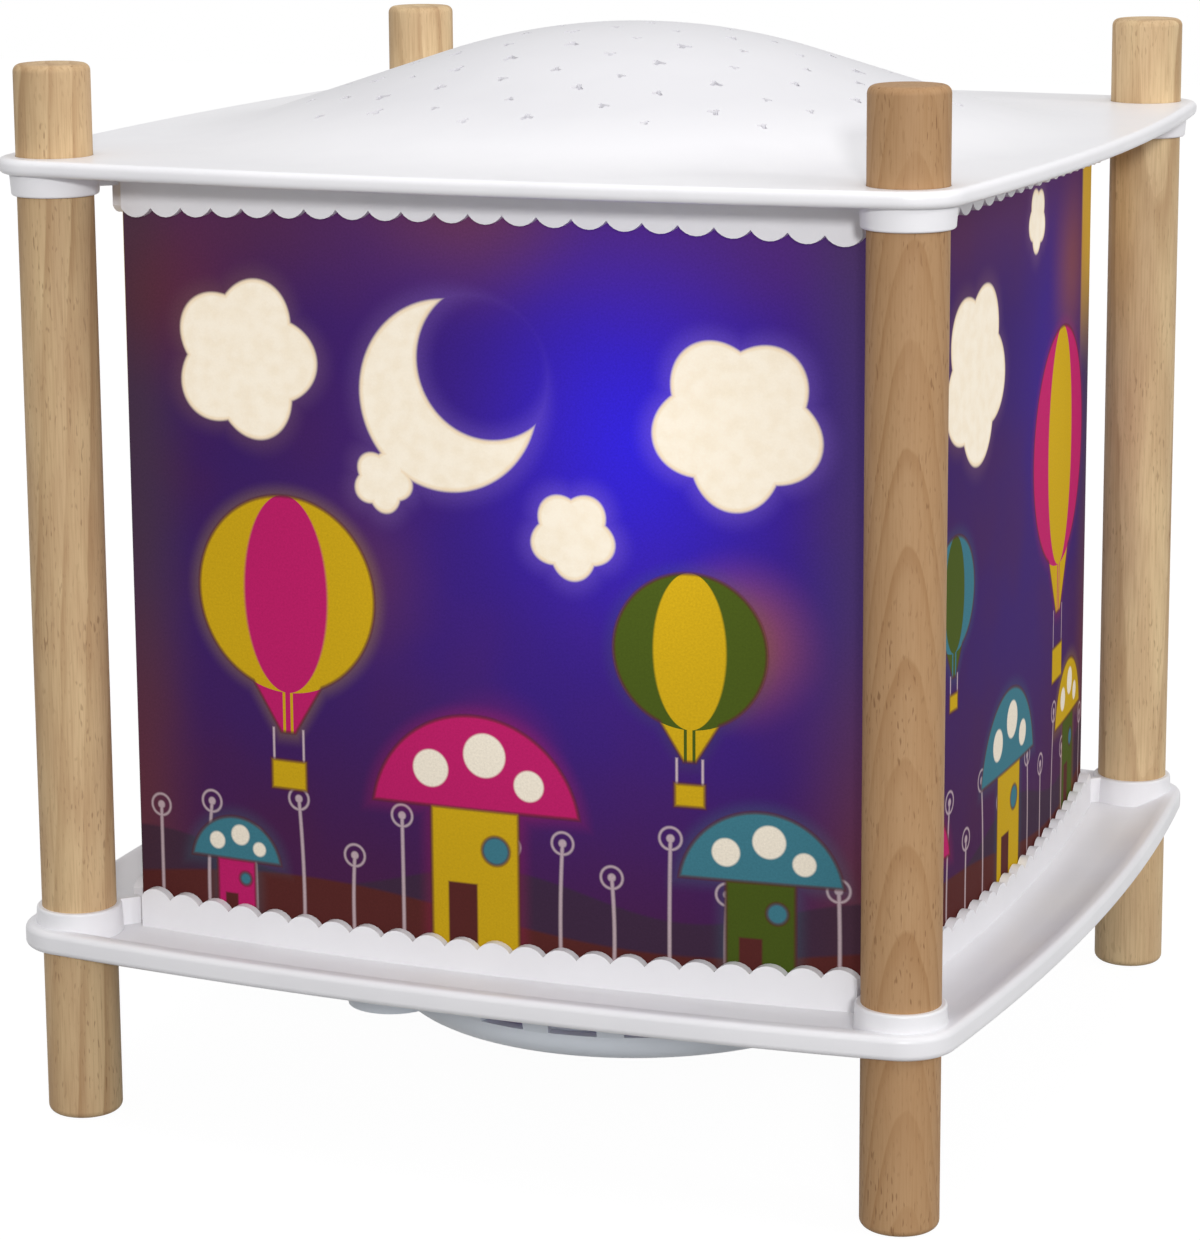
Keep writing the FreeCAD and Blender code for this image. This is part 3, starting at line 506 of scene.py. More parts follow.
def dome_hollow():
    crown = CROWN_RADIUS - DOME_WALL
    start = -MM
    flank_foot = (CROWN_CENTRE + crown * math.cos(SLOPE)
                  - (HOLLOW_RADIUS - crown * math.sin(SLOPE)) * math.tan(SLOPE))
    hollow = pen("hollow", (0, 0, COVER_UNDERSIDE + start))
    pull((HOLLOW_RADIUS, 0, 0))
    pull((0, 0, flank_foot - COVER_UNDERSIDE - start))
    crown_from(Vector((HOLLOW_RADIUS, 0, flank_foot)), crown, 8)
    turn_on_lathe(120)
    object_mode()
    return hollow


# %% [markdown]
# The stars are holes, moulded straight up and down, that throw points of light on a
# ceiling.  One star is a ten-sided bar whose every second corner is drawn inwards.  Its
# copies follow the golden angle, which spreads points evenly over a disc with no rows, and
# a small seeded shift stops them looking machine-made.

# %% Cut the stars
STAR_COUNT = 112
STAR_FIELD = HOLLOW_RADIUS - 2.5 * MM
STAR_RADII = (1.5 * MM, 1.1 * MM, 1.3 * MM, 0.9 * MM)
STAR_WAIST = 0.46
STAR_SHIFT = 1.1 * MM


def star_bar():
    star = upright("star", 1.0, COVER_UNDERSIDE, CROWN_CENTRE + CROWN_RADIUS + MM, points=10)
    edit(star)
    select("VERT", lambda point:
           round(math.degrees(math.atan2(point.co.y, point.co.x)) / 36) % 2)
    bpy.ops.transform.resize(value=(STAR_WAIST, STAR_WAIST, 1), center_override=(0, 0, 0))
    object_mode()
    return star


def star_field():
    chance = random.Random(12)
    golden = math.pi * (3 - math.sqrt(5))
    star = star_bar()
    for index in range(STAR_COUNT):
        radius = STAR_FIELD * math.sqrt((index + 0.5) / STAR_COUNT)
        x = radius * math.cos(index * golden) + chance.uniform(-STAR_SHIFT, STAR_SHIFT)
        y = radius * math.sin(index * golden) + chance.uniform(-STAR_SHIFT, STAR_SHIFT)
        size = chance.choice(STAR_RADII)
        copy_of(star, Matrix.Translation((x, y, 0))
                @ Matrix.Rotation(chance.uniform(0, math.pi), 4, "Z")
                @ Matrix.Diagonal((size, size, 1, 1)))
    pick(star)
    bpy.ops.object.delete()
    stars = [piece for piece in bpy.data.objects if piece.name.startswith("star")]
    pick(stars[0])
    for piece in stars:
        piece.select_set(True)
    bpy.ops.object.join()
    return stars[0]


# %% Build the cover
COVER_RIM_ROUND = 1.15 * MM
SKIRT_DEPTH = 8.1 * MM
SKIRT_ARCH = 1.8 * MM
COVER_COLLAR_DEPTH = 3.8 * MM
COVER_WEB_DEPTH = 2.8 * MM
POST_CLEARANCE = 0.10 * MM

cover = bowed_plate("domed_cover", COVER_UNDERSIDE, COVER_SURFACE, COVER_RIM_ROUND)
inside_plate = COVER_UNDERSIDE + OVERLAP
skirt = scalloped_wall("skirt", inside_plate, COVER_UNDERSIDE - SKIRT_DEPTH, SKIRT_ARCH)
lip = bowed_band("lip", LIP_OUTSIDE, LIP_INSIDE, LIP_OUTSIDE,
                 COVER_UNDERSIDE - LIP_HEIGHT, inside_plate)
carve(cover, "UNION", quarters(skirt) + quarters(lip)
      + quarters(collar(inside_plate, COVER_UNDERSIDE - COVER_COLLAR_DEPTH))
      + quarters(web(COVER_UNDERSIDE - COVER_WEB_DEPTH, inside_plate)) + [dome_outside()])
carve(cover, "DIFFERENCE", [dome_hollow(), star_field()] + quarters(
    upright("bore", POST_RADIUS + POST_CLEARANCE, COVER_UNDERSIDE - 2 * COVER_COLLAR_DEPTH,
            COVER_SURFACE + MM, HALF_SPACING, -HALF_SPACING)))
smooth(cover)
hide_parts("cover")
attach(cover, "cover")

# %% [markdown]
# ## The tray
#
# The tray has the same outline.  Its border is a raised flat rim that slopes down to the
# floor: two insets of the top face draw the rim's inner edge and the foot of the slope, and
# the face inside them is pushed down.

# %% Model the tray's plate
TRAY_UNDERSIDE = TRAY_SURFACE - 2.2 * MM
TRAY_RIM_HEIGHT = 1.9 * MM
TRAY_RIM_WIDTH = 2.6 * MM
TRAY_RIM_SLOPE = 5.0 * MM
TRAY_RIM_ROUND = 1.1 * MM

tray = bowed_plate("moulded_tray", TRAY_UNDERSIDE, TRAY_SURFACE + TRAY_RIM_HEIGHT,
                   TRAY_RIM_ROUND)
edit(tray)
select("FACE", lambda face: face.normal.z > FLAT)
bpy.ops.mesh.inset(thickness=TRAY_RIM_WIDTH - TRAY_RIM_ROUND)
bpy.ops.mesh.inset(thickness=TRAY_RIM_SLOPE)
bpy.ops.transform.translate(value=(0, 0, -TRAY_RIM_HEIGHT))

# %% [markdown]
# The floor inside the shade has twelve openings between ribs, which let the warm air in, a
# raised hub for the stem, and three bosses below for the screws of the pod.  One opening is
# drawn as two arcs whose ends lie half a rib from the spokes.

# %% Add the fence, hub, bosses and air openings
AIR_SLOTS = 12
AIR_INNER, AIR_OUTER = 17 * MM, 38 * MM
RIB_HALF = 2.5 * MM
HUB_RADIUS, HUB_HEIGHT = 11 * MM, 3 * MM
STEM_BORE_RADIUS = 5.1 * MM
FENCE_HEIGHT = 7.2 * MM
FENCE_ARCH = 1.5 * MM
TRAY_COLLAR_TOP = TRAY_SURFACE + 4.85 * MM
SCREW_CIRCLE = 34 * MM
SCREW_RADIUS = 1.5 * MM
BOSS_RADIUS = 3.3 * MM
BOSS_FOOT = TRAY_UNDERSIDE - 9 * MM


def air_opening():
    inner = math.asin(RIB_HALF / AIR_INNER)
    outer = math.asin(RIB_HALF / AIR_OUTER)
    spoke = 2 * math.pi / AIR_SLOTS
    bottom = TRAY_UNDERSIDE - MM
    slot = pen("air", (AIR_OUTER * math.cos(outer), AIR_OUTER * math.sin(outer), bottom))
    sweep((0, 0, bottom), UPRIGHT, spoke - 2 * outer, 10)
    pull((AIR_INNER * math.cos(spoke - inner) - AIR_OUTER * math.cos(spoke - outer),
          AIR_INNER * math.sin(spoke - inner) - AIR_OUTER * math.sin(spoke - outer), 0))
    sweep((0, 0, bottom), UPRIGHT, 2 * inner - spoke, 6)
    raise_outline((0, 0, 4 * MM))
    object_mode()
    return slot


def ring_of(piece, count, start=0.0):
    """Copies of a piece all round the lamp's axis, in place of the piece."""
    copies = [copy_of(piece, Matrix.Rotation(start + 2 * math.pi * index / count, 4, "Z"))
              for index in range(count)]
    bpy.data.objects.remove(piece)
    return copies


inside_floor = TRAY_SURFACE - OVERLAP
fence = scalloped_wall("fence", inside_floor, TRAY_SURFACE + FENCE_HEIGHT, FENCE_ARCH)
lip = bowed_band("lip", LIP_OUTSIDE, LIP_INSIDE, LIP_OUTSIDE, inside_floor,
                 TRAY_SURFACE + LIP_HEIGHT)
first_screw = math.radians(30)
carve(tray, "DIFFERENCE", ring_of(air_opening(), AIR_SLOTS))
carve(tray, "UNION", quarters(fence) + quarters(lip)
      + quarters(collar(TRAY_UNDERSIDE + OVERLAP, TRAY_COLLAR_TOP))
      + quarters(web(inside_floor, TRAY_COLLAR_TOP))
      + [upright("hub", HUB_RADIUS, inside_floor, TRAY_SURFACE + HUB_HEIGHT)]
      + ring_of(upright("boss", BOSS_RADIUS, BOSS_FOOT, TRAY_UNDERSIDE + OVERLAP, SCREW_CIRCLE,
                        points=32), 3, first_screw))
carve(tray, "DIFFERENCE", quarters(
    upright("bore", POST_RADIUS - 0.01 * MM, TRAY_UNDERSIDE - MM, TRAY_COLLAR_TOP + MM,
            HALF_SPACING, -HALF_SPACING))
    + [upright("bore", STEM_BORE_RADIUS, TRAY_UNDERSIDE - MM, TRAY_SURFACE + HUB_HEIGHT + MM)]
    + ring_of(upright("pilot", SCREW_RADIUS, BOSS_FOOT - MM, TRAY_UNDERSIDE, SCREW_CIRCLE,
                      points=24), 3, first_screw))
smooth(tray)
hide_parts("tray")
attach(tray, "frame")

# %% [markdown]
# ## The shade
#
# The shade is one long strip of stiff printed sheet, creased at four corners.  It is drawn
# as four bowed sides and pulled up in steps.  The four corner edges are bevelled, because a
# crease in a sheet is a small round and never a knife edge, and Solidify then gives the
# sheet its thickness inwards.

# %% Fold the sheet
SHEET_THICKNESS = 0.5 * MM
CREASE_ROUND = 0.9 * MM
SHADE_LEVELS = 16
BOW_RADIUS = (SHADE_HALF ** 2 + SHADE_BOW ** 2) / (2 * SHADE_BOW)


def folded_sheet():
    centre = BOW_RADIUS - SHADE_HALF - SHADE_BOW
    sheet = pen("printed_sheet", (-SHADE_HALF, -SHADE_HALF, TRAY_SURFACE))
    sweep((0, centre, TRAY_SURFACE), UPRIGHT, 2 * math.asin(SHADE_HALF / BOW_RADIUS), 40)
    repeat_on_four_sides()
    weld()
    pull((0, 0, shade_high.z - TRAY_SURFACE), SHADE_LEVELS)
    close_seams()
    round_edges(lambda edge: not level(edge)
                and all(abs(abs(across) - SHADE_HALF) < NEAR
                        for across in edge.verts[0].co.xy), CREASE_ROUND, 4)
    object_mode()
    return sheet


sheet = folded_sheet()

# %% [markdown]
# The print follows the sheet, so it needs a map: how far along the strip, and how high
# above the tray, both in metres.  Each side is laid out straight from its left corner.

# %% Lay the print's map on the sheet
SIDE_LENGTH = 2 * SHADE_HALF


def along_the_strip(place, side):
    """Distance from the front left corner, going round by the right."""
    local = (place.x, place.y, -place.x, -place.y)[side]
    return side * SIDE_LENGTH + SHADE_HALF + local


def side_of(place):
    if abs(place.y) >= abs(place.x):
        return 0 if place.y < 0 else 2
    return 1 if place.x > 0 else 3


print_map = sheet.data.uv_layers.new(name="print")
for face in sheet.data.polygons:
    side = side_of(face.center)
    for corner_index in face.loop_indices:
        place = sheet.data.vertices[sheet.data.loops[corner_index].vertex_index].co
        print_map.data[corner_index].uv = (along_the_strip(place, side), place.z - TRAY_SURFACE)
apply(sheet, "SOLIDIFY", thickness=SHEET_THICKNESS, offset=-1)
smooth(sheet, 50.0)
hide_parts("shade")
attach(sheet, "frame")

# %% [markdown]
# ## Writing materials as sums
#
# A material is a graph of nodes.  `Number` wraps one socket, so that a pattern can be
# written as ordinary arithmetic, and each sign adds one Math node.  `Graph` holds the
# nodes; its `node` method adds any node: first its settings, then its sockets.  `Finish`
# is the graph of one material.


# %% Numbers that vary over a surface
class Number:
    def __init__(self, graph, socket):
        self.graph, self.socket = graph, socket

    def math(self, operation, *others):
        return self.graph.math(operation, self, *others)

    def __add__(self, other):
        return self.math("ADD", other)

    def __sub__(self, other):
        return self.math("SUBTRACT", other)

    def __rsub__(self, other):
        return self.graph.math("SUBTRACT", other, self)

    def __mul__(self, other):
        return self.math("MULTIPLY", other)

    def __truediv__(self, other):
        return self.math("DIVIDE", other)

    __radd__, __rmul__ = __add__, __mul__


class Graph:
    """The nodes of a material or of the world."""

    def __init__(self, tree):
        self.tree = tree

    def node(self, kind, settings=None, sockets=None):
        """Adds a node and returns its outputs."""
        node = self.tree.nodes.new(kind)
        for name, value in (settings or {}).items():
            setattr(node, name, value)
        for name, value in (sockets or {}).items():
            self.plug(node.inputs[name], value)
        return [Number(self, output) for output in node.outputs]

    def plug(self, socket, value):
        if isinstance(value, Number):
            self.tree.links.new(value.socket, socket)
        else:
            socket.default_value = value

    def math(self, operation, *values):
        return self.node("ShaderNodeMath", {"operation": operation}, dict(enumerate(values)))[0]


# %% [markdown]
# A finish adds what materials need most: a colour between two others, a soft step from 0
# to 1, noise and bump.  It starts from Blender's own shader, whose fixed values are set on
# its own sockets.


# %% One material
class Finish(Graph):
    def __init__(self, name):
        self.material = bpy.data.materials.new(name)
        self.material.use_nodes = True
        super().__init__(self.material.node_tree)
        self.shader = self.tree.nodes["Principled BSDF"]

    def surface(self, **sockets):
        """Sets the shader's own sockets; an underscore stands for a space."""
        for name, value in sockets.items():
            self.plug(self.shader.inputs[name.replace("_", " ")], value)

    def mix(self, factor, first, second):
        """A colour between two colours."""
        return self.node("ShaderNodeMix", {"data_type": "RGBA"},
                         {0: factor, 6: first, 7: second})[2]

    def times(self, tint, factor):
        """A colour made brighter or darker by a number."""
        return self.node("ShaderNodeVectorMath", {"operation": "SCALE"}, {0: tint, 3: factor})[0]

    def rise(self, value, low, high):
        """A smooth step from 0 below one value to 1 above another."""
        return self.node("ShaderNodeMapRange", {"interpolation_type": "SMOOTHSTEP"},
                         {0: value, 1: low, 2: high, 3: 0.0, 4: 1.0})[0]

    def place(self, centre=(0, 0, 0), turn=(0, 0, 0), unit=(MM, MM, MM)):
        """Object coordinates about a centre, in millimetres unless another unit is given."""
        here = self.node("ShaderNodeTexCoord")[3]
        return self.node("ShaderNodeMapping", {"vector_type": "TEXTURE"},
                         {0: here, 1: centre, 2: turn, 3: unit})[0]

    def axes(self, where):
        """The three coordinates of a place, as numbers."""
        return self.node("ShaderNodeSeparateXYZ", None, {0: where})

    def noise(self, where, scale, detail=2.0, roughness=0.5):
        return self.node("ShaderNodeTexNoise", None,
                         {"Vector": where, "Scale": scale, "Detail": detail,
                          "Roughness": roughness})[0]

    def bump(self, height, strength, depth):
        """Turns a height into a normal; depth is in metres."""
        return self.node("ShaderNodeBump", None,
                         {"Strength": strength, "Distance": depth, "Height": height})[0]


def colour(red, green, blue):
    """A colour as a screen shows it, 0 to 255, as the light it stands for."""
    def light(channel):
        share = channel / 255
        return share / 12.92 if share <= 0.04045 else ((share + 0.055) / 1.055) ** 2.4
    return (light(red), light(green), light(blue), 1.0)


# %% [markdown]
# ## Beech
#
# Beech is pale and even.  It shows three things: soft growth rings, which run as straight
# lines on one side of a post and as tall arches on another, fine fibres along the post,
# and the short dark flecks that tell beech from other woods.  All three are worked out in
# the solid, in the post's own millimetres, so they carry on over the rounded end.  The
# rings are circles about the tree's heart, well outside the post and a little aslant.

# %% Beech finish
FLECK_ACROSS, FLECK_ALONG = 0.36, 1.7
wood_light = colour(222, 195, 152)
wood_body = colour(206, 176, 136)
wood_ring = colour(150, 108, 66)
wood_fleck = colour(118, 80, 48)
wood_brown_and_shade = colour(170, 130, 90)


def beech(name, x, y, turn, heart, slant, spacing, shade_and_browning, marked):
    wood = Finish(name)

    def at(across, along):
        """The post's own coordinates, in units of so many millimetres."""
        return wood.place((x, y, 0), (0, 0, turn), (across * MM, across * MM, along * MM))

    across, deep, along = wood.axes(at(1, 1))
    wander = wood.noise(at(9, 34), 1.0, 2.0)
    aside, beside = across - heart, deep + (wander - 0.5) * 4.0
    ring = (aside * aside + beside * beside).math("SQRT") + along * slant + wander * 3.0
    share = (ring / spacing).math("FRACT")
    latewood = wood.rise(share, 0.62, 0.94) * wood.rise(share, 1.0, 0.95)
    drift = wood.rise(share, 0.0, 0.9)
    strong = wood.rise(wood.noise(at(12, 46), 1.0, 1.0), 0.4, 0.62)
    fibre = wood.noise(at(0.3, 9), 1.0, 3.0)
    fleck_field = wood.rise(wood.noise(at(5, 16), 1.0, 1.0), 0.42, 0.66)
    fleck = wood.rise(wood.noise(at(FLECK_ACROSS, FLECK_ALONG), 1.0, 0.0), 0.64, 0.8)
    mottle = wood.rise(wood.noise(at(5, 22), 1.0, 2.0), 0.32, 0.72)
    tint = wood.mix(mottle, wood_body, wood_light)
    # Painted shade in part: each post is browned by its own amount, partly for its wood and
    # partly for the shade that falls on it.
    tint = wood.mix(shade_and_browning, tint, wood_brown_and_shade)
    tint = wood.mix(wood.rise(fibre, 0.38, 0.75) * 0.28, tint, wood_ring)
    tint = wood.mix(drift * 0.13 + latewood * (strong * 0.3 + 0.1), tint, wood_ring)
    tint = wood.mix(fleck * (fleck_field * 0.75 + 0.25) * marked, tint, wood_fleck)
    height = fibre * 0.6 - fleck * 0.4
    wood.surface(Base_Color=tint, Roughness=0.55 + fibre * 0.16 + fleck * 0.1,
                 Normal=wood.bump(height, 0.3, 0.05 * MM), Specular_IOR_Level=0.35)
    return wood.material


# Turn, heart's distance, slant, ring spacing, browning and strength of the flecks; the
# browning is partly the wood's own tone and partly painted shade on that post
post_grain = {"front_left": (0.5, 30.0, 0.05, 4.2, 0.22, 0.5),
              "front_right": (-1.2, 17.0, 0.17, 2.6, 0.85, 0.65),
              "back_right": (2.2, 41.0, 0.04, 4.6, 0.0, 0.4),
              "back_left": (3.9, 27.0, 0.05, 4.0, 0.0, 0.2)}
for corner, grain in post_grain.items():
    side_x, side_y = corners[corner]
    posts[corner].data.materials.append(
        beech("beech_" + corner, side_x * HALF_SPACING, side_y * HALF_SPACING, *grain))

# %% [markdown]
# ## Moulded plastic
#
# The tray and the cover are glossy white ABS.  A moulding is never a perfect mirror: the
# tool leaves a very faint ripple, handling leaves patches that are a little less shiny, and
# dust greys it slightly.  One function makes every plastic here, from a colour and a shine.
# The whites are chosen to suit these lamps, and are painted shade: the dome faces the top
# lamp squarely and is painted darker so that it keeps its shape, and the tray's white is
# painted a little deeper.

# %% Plastic finishes
DOME_FOOT = 9.0


def plastic(name, tint, dust_and_shade_tint, shine, dome_painted_shade=0.0):
    """The last argument is how far the dome, above the cover's plate, is drawn towards the darker
    tint: painted shade.
    """
    finish = Finish(name)
    here = finish.place()
    wave = finish.noise(here, 0.16, 2.0)
    patches = finish.noise(here, 0.045, 3.0)
    specks = finish.noise(here, 3.2, 2.0)
    worn = finish.rise(patches, 0.35, 0.75)
    dust_and_painted_shade = worn * 0.3 + finish.rise(specks, 0.62, 0.8) * 0.25
    up = finish.axes(here)[2]
    plate_top = COVER_SURFACE / MM
    # Painted shade: the dome above the cover's plate is drawn towards the darker tint, on top of
    # the real dust and wear.
    dust_and_painted_shade = dust_and_painted_shade + finish.rise(up, plate_top, plate_top + DOME_FOOT) * dome_painted_shade
    finish.surface(Base_Color=finish.mix(dust_and_painted_shade, tint, dust_and_shade_tint),
                   Roughness=shine + worn * 0.09 + specks * 0.05,
                   Normal=finish.bump(wave + specks * 0.02, 0.04, 0.25 * MM),
                   Specular_IOR_Level=0.4)
    return finish.material


cover_abs = plastic("cover_abs", colour(243, 242, 245), colour(228, 227, 231), 0.28, 0.9)
# Painted shade: the tray's white is a little deeper than the cover's, to suit these lamps.
tray_abs = plastic("tray_abs", colour(233, 232, 235), colour(221, 220, 224), 0.28)
pod_abs = plastic("pod_abs", colour(238, 244, 252), colour(226, 232, 241), 0.36)
wheel_plastic = plastic("wheel_plastic", colour(236, 235, 230), colour(222, 220, 214), 0.34)
block_plastic = plastic("block_plastic", colour(238, 234, 220), colour(224, 218, 200), 0.42)
cover.data.materials.append(cover_abs)
tray.data.materials.append(tray_abs)

# %% [markdown]
# ## The print on the shade
#
# The sheet is printed with a night garden: a moon and pale blossoms that glow like windows,
# balloons and toadstools in flat inks, and a brown meadow.  Every shape is a distance: how
# many millimetres a point lies outside it, below 0 inside.  The least of two distances
# joins two shapes, the greatest keeps what they share, and a narrow step at 0 turns a
# distance into a crisp ink edge.  The same picture fills two sides and is printed twice.


# %% Shapes as distances
BLOSSOM_PETALS = 5
PETAL_DEPTH = 0.2


class Drawing:
    """The sheet's plane, in millimetres: s along two sides of the shade, t up."""

    def __init__(self, finish):
        self.finish = finish
        across, up, _ = finish.axes(finish.node("ShaderNodeUVMap", {"uv_map": "print"})[0])
        self.s = (across / MM).math("MODULO", 2 * SIDE_LENGTH / MM)
        self.t = up / MM
        self.plane = finish.node("ShaderNodeCombineXYZ", None, {0: self.s, 1: self.t})[0]

    def disc(self, s, t, radius, tall=1.0):
        """A round or an upright oval; a tall one is drawn squeezed and measured round."""
        if tall == 1.0:
            return self.finish.node("ShaderNodeVectorMath", {"operation": "DISTANCE"},
                                    {0: self.plane, 1: (s, t, 0)})[1] - radius
        return self.length(self.s - s, (self.t - t) / tall) - radius

    @staticmethod
    def length(across, up):
        return (across * across + up * up).math("SQRT")

    @staticmethod
    def join(*shapes):
        return reduce(lambda total, shape: total.math("MINIMUM", shape), shapes)

    @staticmethod
    def shared(*shapes):
        return reduce(lambda total, shape: total.math("MAXIMUM", shape), shapes)

    def bar(self, s, t, half_wide, half_high, round_corner=0.0):
        """An upright bar, with its corners rounded."""
        across = (self.s - s).math("ABSOLUTE") - (half_wide - round_corner)
        up = (self.t - t).math("ABSOLUTE") - (half_high - round_corner)
        return self.shared(across, up) - round_corner

    def blossom(self, s, t, radius, turn=0.0):
        """A flower whose edge swells once for each petal."""
        across, up = self.s - s, self.t - t
        heading = up.math("ARCTAN2", across)
        swell = (heading * (BLOSSOM_PETALS / 2) + turn).math("COSINE").math("ABSOLUTE")
        return self.length(across, up) - (swell * PETAL_DEPTH + (1 - PETAL_DEPTH)) * radius

    def inked(self, shape, soft=0.25):
        """1 inside a shape and 0 outside it."""
        return self.finish.rise(shape, soft, -soft)


# %% [markdown]
# The picture is put together in layers, from the night sky forwards.  Each layer is an ink
# and a mask.  Two inks of a layer share an outline, and a thin brown line is printed round
# it, as the artist's pen would leave.

# %% Inks and layout
ink_cream = colour(252, 241, 222)
ink_yellow = colour(212, 172, 26)
ink_magenta = colour(198, 34, 108)
ink_teal = colour(66, 126, 142)
ink_green = colour(76, 92, 28)
ink_brown = colour(92, 42, 40)
ink_line = colour(214, 190, 196)
ink_night = colour(64, 34, 104)
ink_dusk = colour(78, 38, 78)
# Painted light: the blue that the night print turns where the bulb shines through it.
bulb_light_blue = colour(46, 32, 208)
PEN_WIDTH = 0.32


def balloon(page, s, t, radius):
    """A hot-air balloon: envelope, stripes, basket and ropes, as shares of its radius."""
    across, up = page.s - s, page.t - t
    beside = across.math("ABSOLUTE")
    taper = page.shared(beside - (page.t - (t - 1.55 * radius)) * 0.62,
                        page.t - (t - 0.4 * radius), (t - 1.42 * radius) - page.t)
    envelope = page.join(page.disc(s, t, radius), taper)
    half_wide = (radius * radius * 1.02 - up * up).math("MAXIMUM", 1.0).math("SQRT")
    stripe = ((across / half_wide).math("ARCSINE") * 3.2).math("COSINE")
    basket = page.bar(s, t - 1.86 * radius, 0.2 * radius, 0.15 * radius, 0.4)
    rope = page.shared((beside - 0.17 * radius).math("ABSOLUTE") - 0.18,
                       page.bar(s, t - 1.58 * radius, radius, 0.2 * radius))
    return envelope, stripe, basket, rope


def toadstool(page, s, t, radius):
    """A toadstool house, as shares of its cap's radius; t is the cap's underside."""
    cap = page.shared(page.disc(s, t - 0.15 * radius, radius), t - page.t)
    spots = page.join(page.disc(s - 0.42 * radius, t + 0.34 * radius, 0.17 * radius),
                      page.disc(s + 0.1 * radius, t + 0.5 * radius, 0.2 * radius),
                      page.disc(s + 0.52 * radius, t + 0.26 * radius, 0.14 * radius))
    stem = page.bar(s, t - 0.7 * radius, 0.42 * radius, 0.75 * radius, 0.8)
    door = page.bar(s - 0.12 * radius, t - 1.0 * radius, 0.14 * radius, 0.32 * radius, 1.2)
    window = page.disc(s + 0.2 * radius, t - 0.36 * radius, 0.13 * radius)
    return cap, spots, stem, door, window


# %% [markdown]
# Light comes through the sheet, so most of the colour is given off and not reflected.  It
# is brightest where the bulb stands behind the sheet and fades towards the creases.

# %% Where the light falls on the page
SIDE = SIDE_LENGTH / MM
HOT_ALONG, HOT_UP = 94.0, 92.0


def lit_page(finish):
    """The drawing, with how near a point is to the bulb and to a crease."""
    page = Drawing(finish)
    along_side = page.s.math("MODULO", SIDE)
    hot = page.length(along_side - HOT_ALONG, (page.t - HOT_UP) * 0.8)
    front = finish.rise(page.s, SIDE + 2, SIDE - 2) * 0.75 + 0.25
    page.near = finish.rise(hot, 36.0, -6.0) * front
    page.wide = finish.rise(hot, 78.0, 6.0) * front
    # Painted shade: how near a point is to a crease, where less of the bulb's light comes
    # through.
    page.edge = finish.rise(along_side.math("MINIMUM", SIDE - along_side), 16.0, 0.0) * 0.75
    return page


# %% [markdown]
# Near the bulb the night is painted a clear blue: the bulb's light shining through.  Soft
# patches of the drum's own colours show through as blurs of painted light, and beside the
# back crease a painted strip of yellow light leaks out.

# %% Night sky and blurs
BLURS = ((44, 66, 20, colour(110, 58, 70), 0.5), (112, 60, 17, colour(176, 92, 60), 0.7),
         (70, 36, 15, colour(150, 34, 96), 0.6), (10, 112, 22, colour(112, 52, 50), 0.55),
         (66, 134, 26, colour(120, 66, 62), 0.6), (158, 60, 18, colour(60, 60, 150), 0.5),
         (246, 108, 22, colour(150, 84, 60), 0.6))


def night_sky(page):
    mix, rise = page.finish.mix, page.finish.rise
    cloudy = page.finish.noise(page.plane, 0.035, 2.0)
    tint = mix(rise(cloudy, 0.35, 0.7) * 0.5, ink_night, ink_dusk)
    tint = mix(rise(page.t, 52.0, 8.0) * 0.7, tint, colour(80, 34, 66))
    tint = mix(rise(page.t, 104.0, 130.0) * 0.7, tint, colour(98, 52, 82))
    # Painted light: an orange glow along the middle of the sheet's top edge, where the bulb's
    # light leaks past it.
    tint = mix(rise(page.disc(68, 136, 0.0, 0.22), 34.0, 8.0) * 0.8, tint, colour(158, 84, 26))
    # Painted shade: towards each crease the print is drawn greyer and browner, where the light
    # fades.
    crease_shade_tint = mix(rise(page.t, 75.0, 25.0), colour(84, 64, 76), colour(112, 60, 64))
    tint = mix(page.edge, tint, crease_shade_tint)
    leak = rise(page.s, 255.5, 257.5) * rise(page.t, 84.0, 112.0)
    tint = mix(leak, tint, colour(222, 176, 40))
    tint = mix(page.wide * 0.3 + page.near * 0.7, tint, bulb_light_blue)
    for s, t, radius, glow, share in BLURS:
        tint = mix(rise(page.disc(s, t, 0.0), radius, 0.0) * share, tint, glow)
    return tint


# %% [markdown]
# The meadow is two waves, and a row of thin stalks with round seed heads grows from it.
# Each stalk's number gives it its own height and lean.

# %% Meadow and stalks
STALK_SPACING, STALK_MIDDLE = 9.57, 4.78
STALK_LEAN = 0.004
STALK_FOOT = 8.0


def meadow(page, tint):
    mix, inked = page.finish.mix, page.inked
    ground = page.t - ((page.s * (2 * math.pi / 134)).math("SINE") * 3.2 + 9.5)
    hill = page.t - ((page.s * (2 * math.pi / 67) + 1.3).math("SINE") * 3.0 + 15.0)
    tint = mix(inked(hill, 0.4) * 0.75, tint, colour(62, 46, 62))
    tint = mix(inked(ground, 0.4), tint, ink_brown)

    number = (page.s / STALK_SPACING).math("FLOOR")
    across = (page.s / STALK_SPACING).math("FRACT") * STALK_SPACING - STALK_MIDDLE
    top = (number * 2.7).math("SINE") * 4.5 + 22.0
    sway = (number * 1.9).math("SINE")

    def lean(height):
        above = height - STALK_FOOT
        return above * above * STALK_LEAN * sway

    stalk = page.shared((across - lean(page.t)).math("ABSOLUTE") - 0.3, page.t - top)
    head = page.length(across - lean(top), page.t - top)
    clock = page.join(head - 0.7, (head - 1.9).math("ABSOLUTE") - 0.2)
    return mix(inked(page.join(stalk, clock), 0.22) * 0.8, tint, ink_line)


